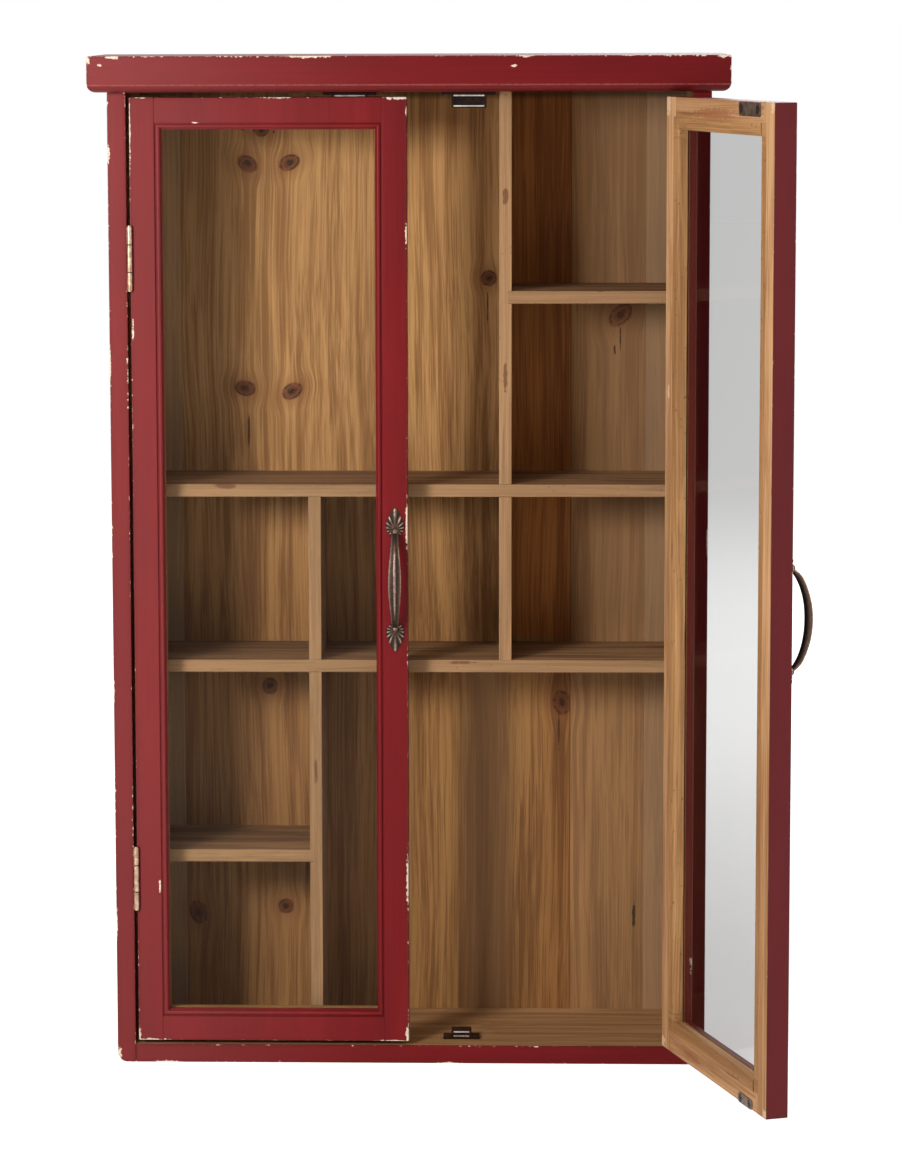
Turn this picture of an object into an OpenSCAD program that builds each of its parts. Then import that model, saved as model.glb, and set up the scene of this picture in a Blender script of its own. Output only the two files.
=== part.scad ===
// Glazed wall display case: a boarded carcass with shelves and dividers, closed by two glazed doors.
// Sizes are in millimetres. +Z is up and -Y is the front. The origin is the middle of the underside.
// The left door is drawn shut and the right door open, which is the pose that the case rests in.

/* [Carcass] */
// Width over the two side boards
body_w = 469; // [449:1:509]
// Height from the underside to the top board
body_h = 772; // [752:1:812]
// Depth from the front edges to the back boards
inner_d = 117; // [107:1:137]
// Thickness of the side boards
side_t = 14.5; // [13:0.5:18]
// Thickness of the bottom board
bottom_t = 14.5; // [13:0.5:18]
// Radius of the bottom outer corners
corner_r = 8; // [4:0.5:11]

/* [Top board] */
// Thickness of the top board
top_t = 28; // [26:1:34]
// How far the top board stands out in front
top_front_lip = 16; // [10:1:24]
// How far the top board stands out past each side
top_side_lip = 14; // [10:1:24]
// Radius of the rounded lower edge
top_round_r = 7; // [4:0.5:9]

/* [Back] */
// Thickness of the back boards
back_t = 8; // [7:0.5:10]
// Visible width of the narrow board in each back corner
back_strip_w = 31.5; // [24:0.5:40]
// Place across the case of the seam between the wide and the narrow board
back_seam_x = 128; // [110:1:150]
// Gap between neighbouring back boards
seam_gap = 0.4; // [0.2:0.1:0.8]
// Width of the rebate in each side that takes the back boards
rebate_w = 7.5; // [6:0.5:8.5]

/* [Shelves and dividers] */
// Thickness of the shelves and dividers
shelf_t = 10; // [9:0.5:12]
// How far the shelves lie behind the front edges
shelf_setback = 25; // [24:0.5:30]
// Height of the top face of the upper full shelf
upper_shelf_z = 462.5; // [450:0.5:475]
// Height of the top face of the lower full shelf
lower_shelf_z = 322; // [310:0.5:335]
// Height of the top face of the short right shelf
right_shelf_z = 615.5; // [600:0.5:630]
// Height of the top face of the short left shelf
left_shelf_z = 168; // [155:0.5:180]
// Place across the case of the upper divider
upper_divider_x = 75; // [65:0.5:85]
// Place across the case of the lower divider
lower_divider_x = -76; // [-86:0.5:-66]
// Depth of the housing grooves in the sides
side_groove_d = 4; // [3:0.5:6]
// Depth of the housing grooves in the dividers
divider_groove_d = 3; // [2:0.5:4]
// Clearance on each face of a halved joint
lap_gap = 0.1; // [0.05:0.05:0.3]

/* [Doors] */
// Thickness of the door frames
door_t = 18; // [17:0.5:20]
// Gap between a door and its side board
door_side_gap = 2.5; // [2:0.1:3]
// Gap between the two doors
door_meeting_gap = 3; // [2:0.1:4]
// Gap above the doors
door_top_gap = 4; // [3:0.5:5]
// Gap below the doors
door_bottom_gap = 3.5; // [3:0.5:5]
// Width of the flat part of the door frame
flat_w = 19.5; // [18:0.5:24]
// Width of the moulding along the inner edge
moulding_w = 5.5; // [4.5:0.5:8]
// Width of the groove that sets the moulding off
quirk_w = 0.9; // [0.6:0.1:1.2]
// Depth of that groove
quirk_d = 1.6; // [1:0.1:2]
// Radius of the bead on the moulding
bead_r = 1.8; // [1.5:0.1:2.2]
// How far the bead lies behind the door's face
bead_drop = 0.2; // [0:0.1:0.4]
// Depth of the low inner step of the moulding
step_d = 3.6; // [3.5:0.1:5]
// Depth from the door's face to the glass
glass_seat = 7.5; // [6.5:0.5:8]
// Thickness of the glass
glass_t = 2.5; // [2:0.5:3]
// Clearance round the glass
glass_gap = 0.3; // [0.2:0.1:0.8]
// Width of the loose glazing beads
glazing_w = 10; // [8:0.5:11]
// Radius of the inner edge of the glazing beads
glazing_r = 2.5; // [1:0.5:4]
// Gap where two glazing beads meet
glazing_gap = 0.3; // [0.1:0.1:0.6]
// Length of the rail tenons
tenon_l = 13; // [10:1:15]
// Thickness of the rail tenons
tenon_t = 6; // [5:0.5:7]
// Distance from the door's edges to the tenons
tenon_inset = 3; // [2:0.5:4]
// Clearance round the tenons
tenon_gap = 0.1; // [0.05:0.05:0.2]
// Angle at which the right door stands open
right_open = 108.5; // [90:0.5:120]

/* [Hinges] */
// Length of the hinge leaves
hinge_l = 49; // [45:1:55]
// Middle of the upper hinges, measured down from the door's top
hinge_from_top = 125; // [100:1:150]
// Middle of the lower hinges, measured up from the door's bottom
hinge_from_bottom = 132; // [100:1:150]
// Distance from the side board to the hinge pin
pin_from_side = 2.2; // [2.2:0.1:2.4]
// How far the pin stands in front of the door's face
pin_forward = 1.7; // [1.5:0.1:2]
// Radius of the hinge pins
pin_r = 1; // [0.9:0.05:1.1]
// Radial clearance of the pins in the door knuckles
pin_fit = 0.05; // [0.03:0.01:0.1]
// Outer radius of the knuckles
knuckle_r = 2.1; // [2:0.05:2.2]
// Length of the end knuckles
end_knuckle_l = 13.8; // [12:0.2:15]
// Gap between neighbouring knuckles
knuckle_gap = 0.4; // [0.3:0.1:0.6]
// Space kept free round the knuckles
knuckle_room = 0.8; // [0.6:0.1:1]
// Thickness of the leaves
leaf_t = 1; // [0.8:0.1:1]
// Reach of the leaves from the pin's axis
leaf_reach = 16; // [15:0.5:17]
// Distance from the pin's axis to the outer screws of a leaf
leaf_screw_reach = 9.6; // [9:0.1:10.5]
// How far the middle screw of a leaf is set behind the outer ones
leaf_screw_stagger = 2.4; // [0:0.1:2.4]
// Distance from the ends of a leaf to its outer screws
leaf_screw_margin = 8.2; // [7:0.1:10]
// Thickness of the pin heads
pin_head_t = 1.2; // [1:0.1:1.6]
// Radius of the pin heads
pin_head_r = 1.7; // [1.4:0.1:1.9]

/* [Handles] */
// Distance from the meeting edge of the door to the middle of the handle
handle_inset = 10; // [9:0.5:11]
// Height of the middle of the handles above the underside
handle_z = 390; // [340:1:440]
// Overall length of a handle
handle_l = 116; // [110:1:124]
// Distance between the two feet of the bar
foot_spacing = 76; // [70:1:80]
// How far the handle stands out from the door
handle_out = 20; // [17:0.5:24]
// Thickness of the bar
bar_t = 5.6; // [5:0.1:6.6]
// Half the width of the bar at its feet
bar_foot_half_w = 3.3; // [3:0.1:4]
// Half the width of the bar at its middle
bar_mid_half_w = 5.8; // [4.5:0.1:6.2]
// How sharply the bar swells towards its middle
bar_swell = 1.5; // [1:0.1:2]
// Half the width of the leaf-shaped end plates
plate_half_w = 7.2; // [6:0.1:7.5]
// Thickness of the end plates
plate_t = 2.4; // [1.8:0.1:3]
// How near to the foot an end plate is widest: lower is nearer
plate_lean = 0.8; // [0.6:0.05:1]
// How full an end plate's outline is: lower is fuller
plate_fullness = 0.6; // [0.4:0.05:1]
// Number of scallops along an end plate's edge
plate_lobes = 5; // [3:1:7]
// Depth of the scallops, as a share of the plate's width
plate_scallop = 0.08; // [0:0.01:0.12]
// Half the width of an end plate's blunt tip
plate_tip_half_w = 0.6; // [0.4:0.1:1]
// Radius of the feet
foot_r = 3.9; // [3.6:0.1:4.4]
// Height of the feet above the door's face
foot_h = 6; // [5.5:0.5:8]
// Radius of the double-ended handle screws
bolt_r = 1.9; // [1.6:0.1:2]
// How far the handle screws reach into the door
bolt_reach = 12; // [9:0.5:14]
// How far the handle screws reach into the feet
bolt_grip = 4; // [3:0.5:4.5]

/* [Catches] */
// Distance from the middle of the case to the top catches
top_catch_x = 46.5; // [40:0.5:60]
// Distance from the middle of the case to the bottom catches
bottom_catch_x = 40; // [36:0.5:60]
// Width of a top catch's housing
top_catch_w = 27.5; // [24:0.5:30]
// Height of a top catch's housing
top_catch_h = 13; // [11:0.5:15]
// Depth of a top catch's housing
top_catch_d = 14; // [12:0.5:18]
// Width of a top catch's flange
top_flange_w = 42; // [38:0.5:46]
// Thickness of a top catch's flange
top_flange_t = 3; // [2:0.1:3.5]
// Width of a bottom catch's housing
bottom_catch_w = 16; // [14:0.5:18]
// Height of a bottom catch's housing
bottom_catch_h = 7.5; // [7:0.5:8.5]
// Depth of a bottom catch's housing
bottom_catch_d = 12; // [10:0.5:14]
// Width of a bottom catch's flange
bottom_flange_w = 29; // [27:0.5:34]
// Thickness of a bottom catch's flange
bottom_flange_t = 2.2; // [2:0.1:2.6]
// Thickness of the steel pole plates
pole_t = 1; // [0.8:0.1:1.2]
// Wall of the catch housings
catch_wall = 1.8; // [1.4:0.1:2]
// Wall of the catch housings beyond the plates
catch_lip = 0.9; // [0.7:0.1:1.2]
// Width of the top strike plates
top_strike_w = 41; // [36:0.5:44]
// Height of the top strike plates
top_strike_h = 10.5; // [9:0.5:12]
// Width of the bottom strike plates
bottom_strike_w = 27; // [24:0.5:32]
// Height of the bottom strike plates
bottom_strike_h = 7.5; // [7:0.5:8]
// Radius of the strike plates' corners
strike_corner_r = 2.5; // [1.5:0.1:3]
// Distance from the ends of a strike plate to its screws
strike_screw_inset = 4.8; // [4:0.1:6]
// Thickness of the strike plates
strike_t = 1; // [0.8:0.1:1.2]
// Distance from the top strike plates to the door's top edge
top_strike_inset = 0.5; // [0.3:0.1:1]
// Distance from the bottom strike plates to the door's bottom edge
bottom_strike_inset = 0.3; // [0.3:0.1:1]
// Gap between a strike plate and its closed catch
catch_gap = 0.3; // [0.2:0.1:0.6]

/* [Fastenings] */
// Radius of the wood screws
screw_r = 1.1; // [0.9:0.1:1.3]
// Radius of the wood screws' heads
screw_head_r = 2.1; // [1.9:0.1:2.3]
// Length of the wood screws
screw_l = 10; // [8:0.5:11]
// Width of the slots in the wood screws' heads
screw_slot_w = 0.6; // [0.5:0.1:0.8]
// Radial clearance of every fixed screw, pin and dowel
fixed_fit = 0.05; // [0.03:0.01:0.1]
// Radius of the corner dowels
dowel_r = 3; // [2.5:0.25:3.5]
// Length of the corner dowels
dowel_l = 22; // [20:1:24]
// Length of a corner dowel in the side board, where it runs across it
dowel_side_l = 9; // [7:0.5:10]
// Distance from the front and back faces to the corner dowels
dowel_inset = 27.5; // [20:0.5:35]
// Radius of the panel pins in the back boards
panel_pin_r = 0.8; // [0.6:0.1:1]
// Radius of the panel pins' heads
panel_head_r = 1.6; // [1.4:0.1:2]
// Thickness of the panel pins' heads
panel_head_t = 0.8; // [0.6:0.1:1]
// Length of the panel pins
panel_pin_l = 22; // [18:1:26]
// Distance from the edges of the wide back board to its outer panel pins
panel_pin_inset = 38; // [20:1:60]

/* [Hanger plates] */
// Distance from the case's sides to the middle of the hanger plates
hanger_inset = 64.5; // [45:0.5:95]
// Width of a hanger plate
hanger_w = 42; // [38:1:50]
// Height of a hanger plate
hanger_h = 22; // [20:1:24]
// Thickness of a hanger plate
hanger_t = 1.5; // [1:0.1:2]
// Distance from the ends of a hanger plate to its screws
hanger_screw_inset = 5; // [4:0.5:7]
// Radius of the round opening that takes a screw's head
keyhole_r = 4; // [3.5:0.25:4.5]
// Half the width of the slot above it
keyhole_slot = 1.6; // [1.5:0.1:1.8]
// Rise from the round opening to the end of the slot
keyhole_rise = 8; // [7:0.5:9]
// Height of the round opening above the top board's lower face
keyhole_z = 10; // [9:0.5:11]
// Depth of the pocket behind a hanger plate
pocket_d = 12; // [8:1:16]
// How far the pocket runs out past the round opening
pocket_room = 1; // [0.5:0.5:2]

/* [Hidden] */
$fn = 48;

paint = "#8a2f3c";
raw_wood = "#b08a5c";
bronze = "#4a4036";
brass = "#b59a5a";
steel = "#b8b8b8";
plastic = "#4a3226";
pane = [0.75, 0.82, 0.8, 0.35];

over = 1;                                   // how far a cutter runs past the face that it opens
half_w = body_w / 2;
inner_half = half_w - side_t;
body_d = inner_d + back_t;
front_y = -body_d / 2;
back_y = body_d / 2;
back_face_y = back_y - back_t;
shelf_y = front_y + shelf_setback;
shelf_d = inner_d - shelf_setback;
lap_y = shelf_y + shelf_d / 2;
groove_end = inner_half + side_groove_d;
rebate_end = inner_half + rebate_w;
strip_edge = inner_half - back_strip_w;
upper_x0 = upper_divider_x - shelf_t / 2;
lower_x0 = lower_divider_x - shelf_t / 2;

door_x0 = -inner_half + door_side_gap;
door_z0 = bottom_t + door_bottom_gap;
door_w = inner_half - door_side_gap - door_meeting_gap / 2;
door_h = body_h - door_top_gap - door_z0;
frame_w = flat_w + moulding_w;
glazing_edge = frame_w - glazing_w;
glass_back = glass_seat + glass_t;

pin_x = inner_half - pin_from_side;
pin_y = front_y - pin_forward;
hinge_zs = [door_h - hinge_from_top, hinge_from_bottom];    // upper and lower, from the door's bottom
mid_knuckle_l = hinge_l - 2 * end_knuckle_l;
leaf_screw_rise = hinge_l / 2 - leaf_screw_margin;
notch_w = knuckle_r + pin_from_side - door_side_gap + knuckle_room;
notch_d = knuckle_r - pin_forward + knuckle_room;

dowel_ys = [front_y + dowel_inset, back_y - dowel_inset];
pin_levels = [bottom_t / 2, lower_shelf_z - shelf_t / 2, upper_shelf_z - shelf_t / 2];
pin_columns = [
    -(strip_edge + rebate_end) / 2,
    -strip_edge + panel_pin_inset,
    (back_seam_x - strip_edge) / 2,
    back_seam_x - panel_pin_inset,
    (back_seam_x + strip_edge) / 2,
    (strip_edge + rebate_end) / 2
];

hanger_x = half_w - hanger_inset;
hanger_screw_x = hanger_w / 2 - hanger_screw_inset;
pocket_r = keyhole_r + pocket_room;

// Each list holds a catch's width, height and depth, or a flange's or a strike plate's two sizes.
top_catch = [top_catch_w, top_catch_h, top_catch_d];
bottom_catch = [bottom_catch_w, bottom_catch_h, bottom_catch_d];
top_flange = [top_flange_w, top_flange_t];
bottom_flange = [bottom_flange_w, bottom_flange_t];
top_strike = [top_strike_w, top_strike_h];
bottom_strike = [bottom_strike_w, bottom_strike_h];
top_strike_z = door_h - top_strike_inset - top_strike_h / 2;
bottom_strike_z = bottom_strike_inset + bottom_strike_h / 2;

stile_outline = [
    [0, 0], [flat_w, 0], [flat_w, flat_w], [frame_w, frame_w],
    [frame_w, door_h - frame_w], [flat_w, door_h - flat_w], [flat_w, door_h], [0, door_h]
];
rail_outline = [
    [flat_w, 0], [door_w - flat_w, 0], [door_w - flat_w, flat_w], [door_w - frame_w, frame_w],
    [frame_w, frame_w], [flat_w, flat_w]
];

handle_x = door_w - handle_inset;
bar_rings = 24;                             // facets along the bar
bar_sides = 12;                             // facets round the bar
bar_root_y = foot_h - bar_t / 2;
bar_rise = handle_out - bar_t / 2 - bar_root_y;
plate_l = (handle_l - foot_spacing) / 2 + foot_r;
plate_steps = 40;                           // points along an end plate's edge

// A screw: its head's face lies at z = 0 and its shank runs down -Z. grow widens it to cut its hole.
module wood_screw(grow = 0) {
    head_h = screw_head_r - screw_r;
    slot_d = head_h / 2;
    difference() {
        union() {
            translate([0, 0, -head_h])
                cylinder(h = head_h, r1 = screw_r + grow, r2 = screw_head_r + grow);
            translate([0, 0, -screw_l - grow])
                cylinder(h = screw_l + grow, r = screw_r + grow);
        }
        if (grow == 0)
            translate([-screw_head_r, -screw_slot_w / 2, -slot_d])
                cube([2 * screw_head_r, screw_slot_w, slot_d + over]);
    }
}

// A plain round rod along +Z.
module rod(length, radius) {
    cylinder(h = length, r = radius);
}

module mirrored() {
    mirror([1, 0, 0]) children();
}

module both_sides() {
    children();
    mirrored() children();
}

// ---- top board

module top_board_blank() {
    width = body_w + 2 * top_side_lip;
    depth = body_d + top_front_lip;
    translate([-width / 2, front_y - top_front_lip, body_h])
        cube([width, depth, top_t]);
}

module lower_edge_waste(length) {
    difference() {
        translate([-over, -over, -over])
            cube([top_round_r + over, length + 2 * over, top_round_r + over]);
        translate([top_round_r, -2 * over, top_round_r])
            rotate([-90, 0, 0]) cylinder(h = length + 4 * over, r = top_round_r);
    }
}

module keyhole_cut(depth) {
    rotate([90, 0, 0]) {
        cylinder(h = depth, r = keyhole_r);
        translate([-keyhole_slot, 0, 0]) cube([2 * keyhole_slot, keyhole_rise, depth]);
        translate([0, keyhole_rise, 0]) cylinder(h = depth, r = keyhole_slot);
    }
}

// Puts its children at a hanger plate's opening, on the back face.
module at_hanger(side) {
    translate([side * hanger_x, back_y, body_h + keyhole_z]) children();
}

module hanger_blank(grow = 0) {
    out = grow > 0 ? over : 0;
    translate([-hanger_w / 2 - grow, -hanger_t - grow, (keyhole_rise - hanger_h) / 2 - grow])
        cube([hanger_w + 2 * grow, hanger_t + grow + out, hanger_h + 2 * grow]);
}

module hanger_screw_set(grow = 0) {
    for (side = [-1, 1])
        translate([side * hanger_screw_x, 0, keyhole_rise / 2])
            rotate([-90, 0, 0]) wood_screw(grow);
}

module hanger_pocket() {
    translate([-pocket_r, -pocket_d, -pocket_r])
        cube([2 * pocket_r, pocket_d + over, keyhole_rise + 2 * pocket_r]);
}

module top_board() {
    width = body_w + 2 * top_side_lip;
    depth = body_d + top_front_lip;
    color(paint) difference() {
        top_board_blank();
        translate([-width / 2, front_y - top_front_lip, body_h]) lower_edge_waste(depth);
        translate([width / 2, front_y - top_front_lip, body_h])
            mirrored() lower_edge_waste(depth);
        translate([width / 2, front_y - top_front_lip, body_h])
            rotate([0, 0, 90]) lower_edge_waste(width);
        corner_dowel_set(fixed_fit);
        for (side = [-1, 1]) at_hanger(side) {
            hanger_blank(fixed_fit);
            hanger_pocket();
            hanger_screw_set(fixed_fit);
        }
        catch_screw_set(fixed_fit);
    }
}

module hanger_plate(side) {
    color(steel) difference() {
        at_hanger(side) hanger_blank();
        at_hanger(side) translate([0, over, 0]) keyhole_cut(hanger_t + 2 * over);
        at_hanger(side) hanger_screw_set(fixed_fit);
    }
}

module hanger_screws() {
    color(brass) for (side = [-1, 1]) at_hanger(side) hanger_screw_set();
}

// ---- carcass

module corner_dowel_set(grow = 0) {
    side_mid = half_w - side_t / 2;
    for (side = [-1, 1], y = dowel_ys) {
        translate([side * side_mid, y, body_h - dowel_l / 2 - grow])
            rod(dowel_l + 2 * grow, dowel_r + grow);
        translate([side * (inner_half + dowel_side_l + grow), y, bottom_t / 2])
            rotate([0, -side * 90, 0]) rod(dowel_l + 2 * grow, dowel_r + grow);
    }
}

module corner_dowels() {
    color(raw_wood) corner_dowel_set();
}

module groove(z, x0, length) {
    translate([x0, shelf_y, z - shelf_t]) cube([length, shelf_d, shelf_t]);
}

// The left side board, with a groove for each shelf height in zs. The right one is its mirror image.
module side_board(zs) {
    difference() {
        translate([-half_w, front_y, 0]) cube([side_t, body_d, body_h]);
        for (z = zs) groove(z, -groove_end, side_groove_d + over);
        translate([-rebate_end, back_face_y, -over])
            cube([rebate_w + over, back_t + over, body_h + 2 * over]);
        translate([-half_w, front_y - over, 0]) difference() {
            translate([-over, 0, -over]) cube([corner_r + over, body_d + 2 * over, corner_r + over]);
            translate([corner_r, -over, corner_r])
                rotate([-90, 0, 0]) cylinder(h = body_d + 4 * over, r = corner_r);
        }
        corner_dowel_set(fixed_fit);
        frame_screw_set(fixed_fit);
    }
}

module side_left() {
    color(paint) side_board([upper_shelf_z, lower_shelf_z, left_shelf_z]);
}

module side_right() {
    color(paint) mirrored() side_board([upper_shelf_z, lower_shelf_z, right_shelf_z]);
}

module bottom_board() {
    color(paint) difference() {
        translate([-inner_half, front_y, 0]) cube([2 * inner_half, inner_d, bottom_t]);
        corner_dowel_set(fixed_fit);
        catch_screw_set(fixed_fit);
        panel_pin_set(fixed_fit);
    }
}

module back_board(x0, x1) {
    color(raw_wood) difference() {
        translate([x0, back_face_y, 0]) cube([x1 - x0, back_t, body_h]);
        panel_pin_set(fixed_fit);
    }
}

module back_strip_left() {
    back_board(-rebate_end, -strip_edge - seam_gap / 2);
}

module back_board_wide() {
    back_board(-strip_edge + seam_gap / 2, back_seam_x - seam_gap / 2);
}

module back_board_narrow() {
    back_board(back_seam_x + seam_gap / 2, strip_edge - seam_gap / 2);
}

module back_strip_right() {
    back_board(strip_edge + seam_gap / 2, rebate_end);
}

module panel_pin_set(grow = 0) {
    for (x = pin_columns, z = pin_levels)
        translate([x, back_y, z]) rotate([90, 0, 0]) {
            rod(panel_head_t + grow, panel_head_r + grow);
            rod(panel_pin_l + grow, panel_pin_r + grow);
        }
}

module back_panel_pins() {
    color(steel) panel_pin_set();
}

// ---- shelves and dividers

module shelf(z, x0, x1) {
    translate([x0, shelf_y, z - shelf_t]) cube([x1 - x0, shelf_d, shelf_t]);
}

// The slot in the rear half of a shelf that takes a divider standing at x.
module shelf_slot(x, z) {
    translate([x - shelf_t / 2 - lap_gap, lap_y - lap_gap, z - shelf_t - over])
        cube([shelf_t + 2 * lap_gap, shelf_d, shelf_t + 2 * over]);
}

module full_shelf(z, divider_x) {
    color(raw_wood) difference() {
        shelf(z, -groove_end, groove_end);
        shelf_slot(divider_x, z);
        panel_pin_set(fixed_fit);
    }
}

module shelf_upper() {
    full_shelf(upper_shelf_z, upper_divider_x);
}

module shelf_lower() {
    full_shelf(lower_shelf_z, lower_divider_x);
}

module shelf_right() {
    color(raw_wood)
        shelf(right_shelf_z, upper_x0 + shelf_t - divider_groove_d, groove_end);
}

module shelf_left() {
    color(raw_wood) shelf(left_shelf_z, -groove_end, lower_x0 + divider_groove_d);
}

// A divider that starts at x0, with a slot in its front half for the shelf at lap_z
// and a groove for the short shelf at groove_z, cut from groove_x.
module divider(x0, z0, z1, lap_z, groove_x, groove_z) {
    color(raw_wood) difference() {
        translate([x0, shelf_y, z0]) cube([shelf_t, shelf_d, z1 - z0]);
        translate([x0 - over, shelf_y - over, lap_z - shelf_t - lap_gap])
            cube([shelf_t + 2 * over, shelf_d / 2 + over, shelf_t + 2 * lap_gap]);
        groove(groove_z, groove_x, divider_groove_d + over);
    }
}

module divider_upper() {
    divider(
        upper_x0, lower_shelf_z, body_h, upper_shelf_z,
        upper_x0 + shelf_t - divider_groove_d, right_shelf_z
    );
}

module divider_lower() {
    divider(
        lower_x0, bottom_t, upper_shelf_z - shelf_t, lower_shelf_z,
        lower_x0 - over, left_shelf_z
    );
}

// ---- catches, drawn at a catch's middle with x across, its front at y = 0 and its top at z = 0

module at_top_catch(side) {
    translate([side * top_catch_x, front_y + door_t + strike_t + catch_gap, body_h]) children();
}

module at_bottom_catch(side) {
    translate([side * bottom_catch_x, front_y + door_t + strike_t + catch_gap, bottom_t])
        mirror([0, 0, 1]) children();
}

function flange_screw_x(size, flange) = (size[0] + flange[0]) / 4;

module catch_bolts(size, flange, grow) {
    for (side = [-1, 1])
        translate([side * flange_screw_x(size, flange), size[2] / 2, -flange[1]])
            mirror([0, 0, 1]) wood_screw(grow);
}

module catch_housing(size, flange) {
    color(plastic) difference() {
        union() {
            translate([-size[0] / 2, 0, -size[1]]) cube([size[0], size[2], size[1]]);
            translate([-flange[0] / 2, 0, -flange[1]]) cube([flange[0], size[2], flange[1]]);
        }
        catch_cavity(size, flange);
        catch_bolts(size, flange, fixed_fit);
    }
}

// The pocket that holds the magnet and its two plates, open at the front.
module catch_cavity(size, flange) {
    z0 = -size[1] + catch_lip;
    z1 = -flange[1];
    translate([-size[0] / 2 + catch_wall, -over, z0])
        cube([size[0] - 2 * catch_wall, size[2] - catch_wall + over, z1 - z0]);
}

module pole_plates(size, flange) {
    for (z = [-size[1] + catch_lip, -flange[1] - pole_t])
        translate([-size[0] / 2 + catch_wall, 0, z])
            cube([size[0] - 2 * catch_wall, size[2] - catch_wall, pole_t]);
}

module magnet(size, flange) {
    z0 = -size[1] + catch_lip + pole_t;
    z1 = -flange[1] - pole_t;
    translate([-size[0] / 2 + catch_wall, pole_t, z0])
        cube([size[0] - 2 * catch_wall, size[2] - catch_wall - pole_t, z1 - z0]);
}

module top_catch_left() {
    at_top_catch(-1) catch_housing(top_catch, top_flange);
}

module top_catch_right() {
    at_top_catch(1) catch_housing(top_catch, top_flange);
}

module bottom_catch_left() {
    at_bottom_catch(-1) catch_housing(bottom_catch, bottom_flange);
}

module bottom_catch_right() {
    at_bottom_catch(1) catch_housing(bottom_catch, bottom_flange);
}

module catch_magnets() {
    color("#2b2624") for (side = [-1, 1]) {
        at_top_catch(side) magnet(top_catch, top_flange);
        at_bottom_catch(side) magnet(bottom_catch, bottom_flange);
    }
}

module catch_pole_plates() {
    color(steel) for (side = [-1, 1]) {
        at_top_catch(side) pole_plates(top_catch, top_flange);
        at_bottom_catch(side) pole_plates(bottom_catch, bottom_flange);
    }
}

module catch_screw_set(grow = 0) {
    for (side = [-1, 1]) {
        at_top_catch(side) catch_bolts(top_catch, top_flange, grow);
        at_bottom_catch(side) catch_bolts(bottom_catch, bottom_flange, grow);
    }
}

module catch_screws() {
    color(brass) catch_screw_set();
}

// ---- hinges, drawn for the left side with the pin's axis at x = y = 0 and the leaf's middle at z = 0

module at_left_hinge(which) {
    translate([-pin_x, pin_y, door_z0 + hinge_zs[which]]) children();
}

module knuckle(z0, length) {
    translate([0, 0, z0]) cylinder(h = length, r = knuckle_r);
}

module leaf_screw_places() {
    for (step = [-1, 0, 1])
        translate([
            0, leaf_screw_reach + (step == 0 ? leaf_screw_stagger : 0), step * leaf_screw_rise
        ])
            children();
}

module frame_leaf_blank() {
    mid_room = mid_knuckle_l / 2;
    difference() {
        union() {
            translate([-pin_from_side, 0, -hinge_l / 2]) cube([leaf_t, leaf_reach, hinge_l]);
            knuckle(-hinge_l / 2, end_knuckle_l - knuckle_gap / 2);
            knuckle(hinge_l / 2 - end_knuckle_l + knuckle_gap / 2, end_knuckle_l - knuckle_gap / 2);
        }
        translate([-pin_from_side - over, -over, -mid_room - knuckle_gap / 2])
            cube([leaf_t + 2 * over, knuckle_r + knuckle_gap + over, 2 * mid_room + knuckle_gap]);
        translate([0, 0, -hinge_l / 2 - over]) rod(hinge_l + 2 * over, pin_r + fixed_fit);
    }
}

module frame_leaf(which) {
    color(brass) at_left_hinge(which) difference() {
        frame_leaf_blank();
        frame_leaf_screw_places(fixed_fit);
    }
}

module frame_leaf_screw_places(grow = 0) {
    leaf_screw_places() translate([leaf_t - pin_from_side, 0, 0]) rotate([0, 90, 0]) wood_screw(grow);
}

module frame_screw_set(grow = 0) {
    for (which = [0, 1]) at_left_hinge(which) frame_leaf_screw_places(grow);
}

module door_leaf_blank() {
    x0 = door_side_gap - pin_from_side;
    end_z = hinge_l / 2 - end_knuckle_l;
    difference() {
        union() {
            translate([x0, 0, -hinge_l / 2]) cube([leaf_t, leaf_reach, hinge_l]);
            knuckle(-end_z + knuckle_gap / 2, 2 * end_z - knuckle_gap);
        }
        for (side = [0, 1]) mirror([0, 0, side])
            translate([x0 - over, -over, end_z - knuckle_gap / 2])
                cube([leaf_t + 2 * over, knuckle_r + knuckle_gap + over, hinge_l]);
        translate([0, 0, -hinge_l / 2]) rod(hinge_l, pin_r + pin_fit);
    }
}

module door_leaf_screw_places(grow = 0) {
    leaf_screw_places() translate([door_side_gap - pin_from_side, 0, 0])
        rotate([0, -90, 0]) wood_screw(grow);
}

module door_leaf(which) {
    color(brass) at_left_hinge(which) difference() {
        door_leaf_blank();
        door_leaf_screw_places(fixed_fit);
    }
}

module hinge_pin() {
    translate([0, 0, -hinge_l / 2]) rod(hinge_l, pin_r);
    for (side = [0, 1]) mirror([0, 0, side])
        translate([0, 0, hinge_l / 2]) rod(pin_head_t, pin_head_r);
}

module hinge_pins() {
    color(brass) both_sides() for (which = [0, 1]) at_left_hinge(which) hinge_pin();
}

module frame_leaf_screws() {
    color(brass) both_sides() frame_screw_set();
}

// ---- doors. A door is drawn shut at the left, from its hinge edge at x = 0, its face at y = 0 and
// its bottom at z = 0.

module as_left_door() {
    translate([door_x0, front_y, door_z0]) children();
}

module as_right_door() {
    translate([pin_x, pin_y, 0]) rotate([0, 0, right_open]) translate([-pin_x, -pin_y, 0])
        mirrored() as_left_door() children();
}

// Moves a hinge part, drawn at the left side of the case, to the right door.
module on_right_door() {
    translate([pin_x, pin_y, 0]) rotate([0, 0, right_open]) translate([-pin_x, -pin_y, 0])
        mirrored() children();
}

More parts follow.
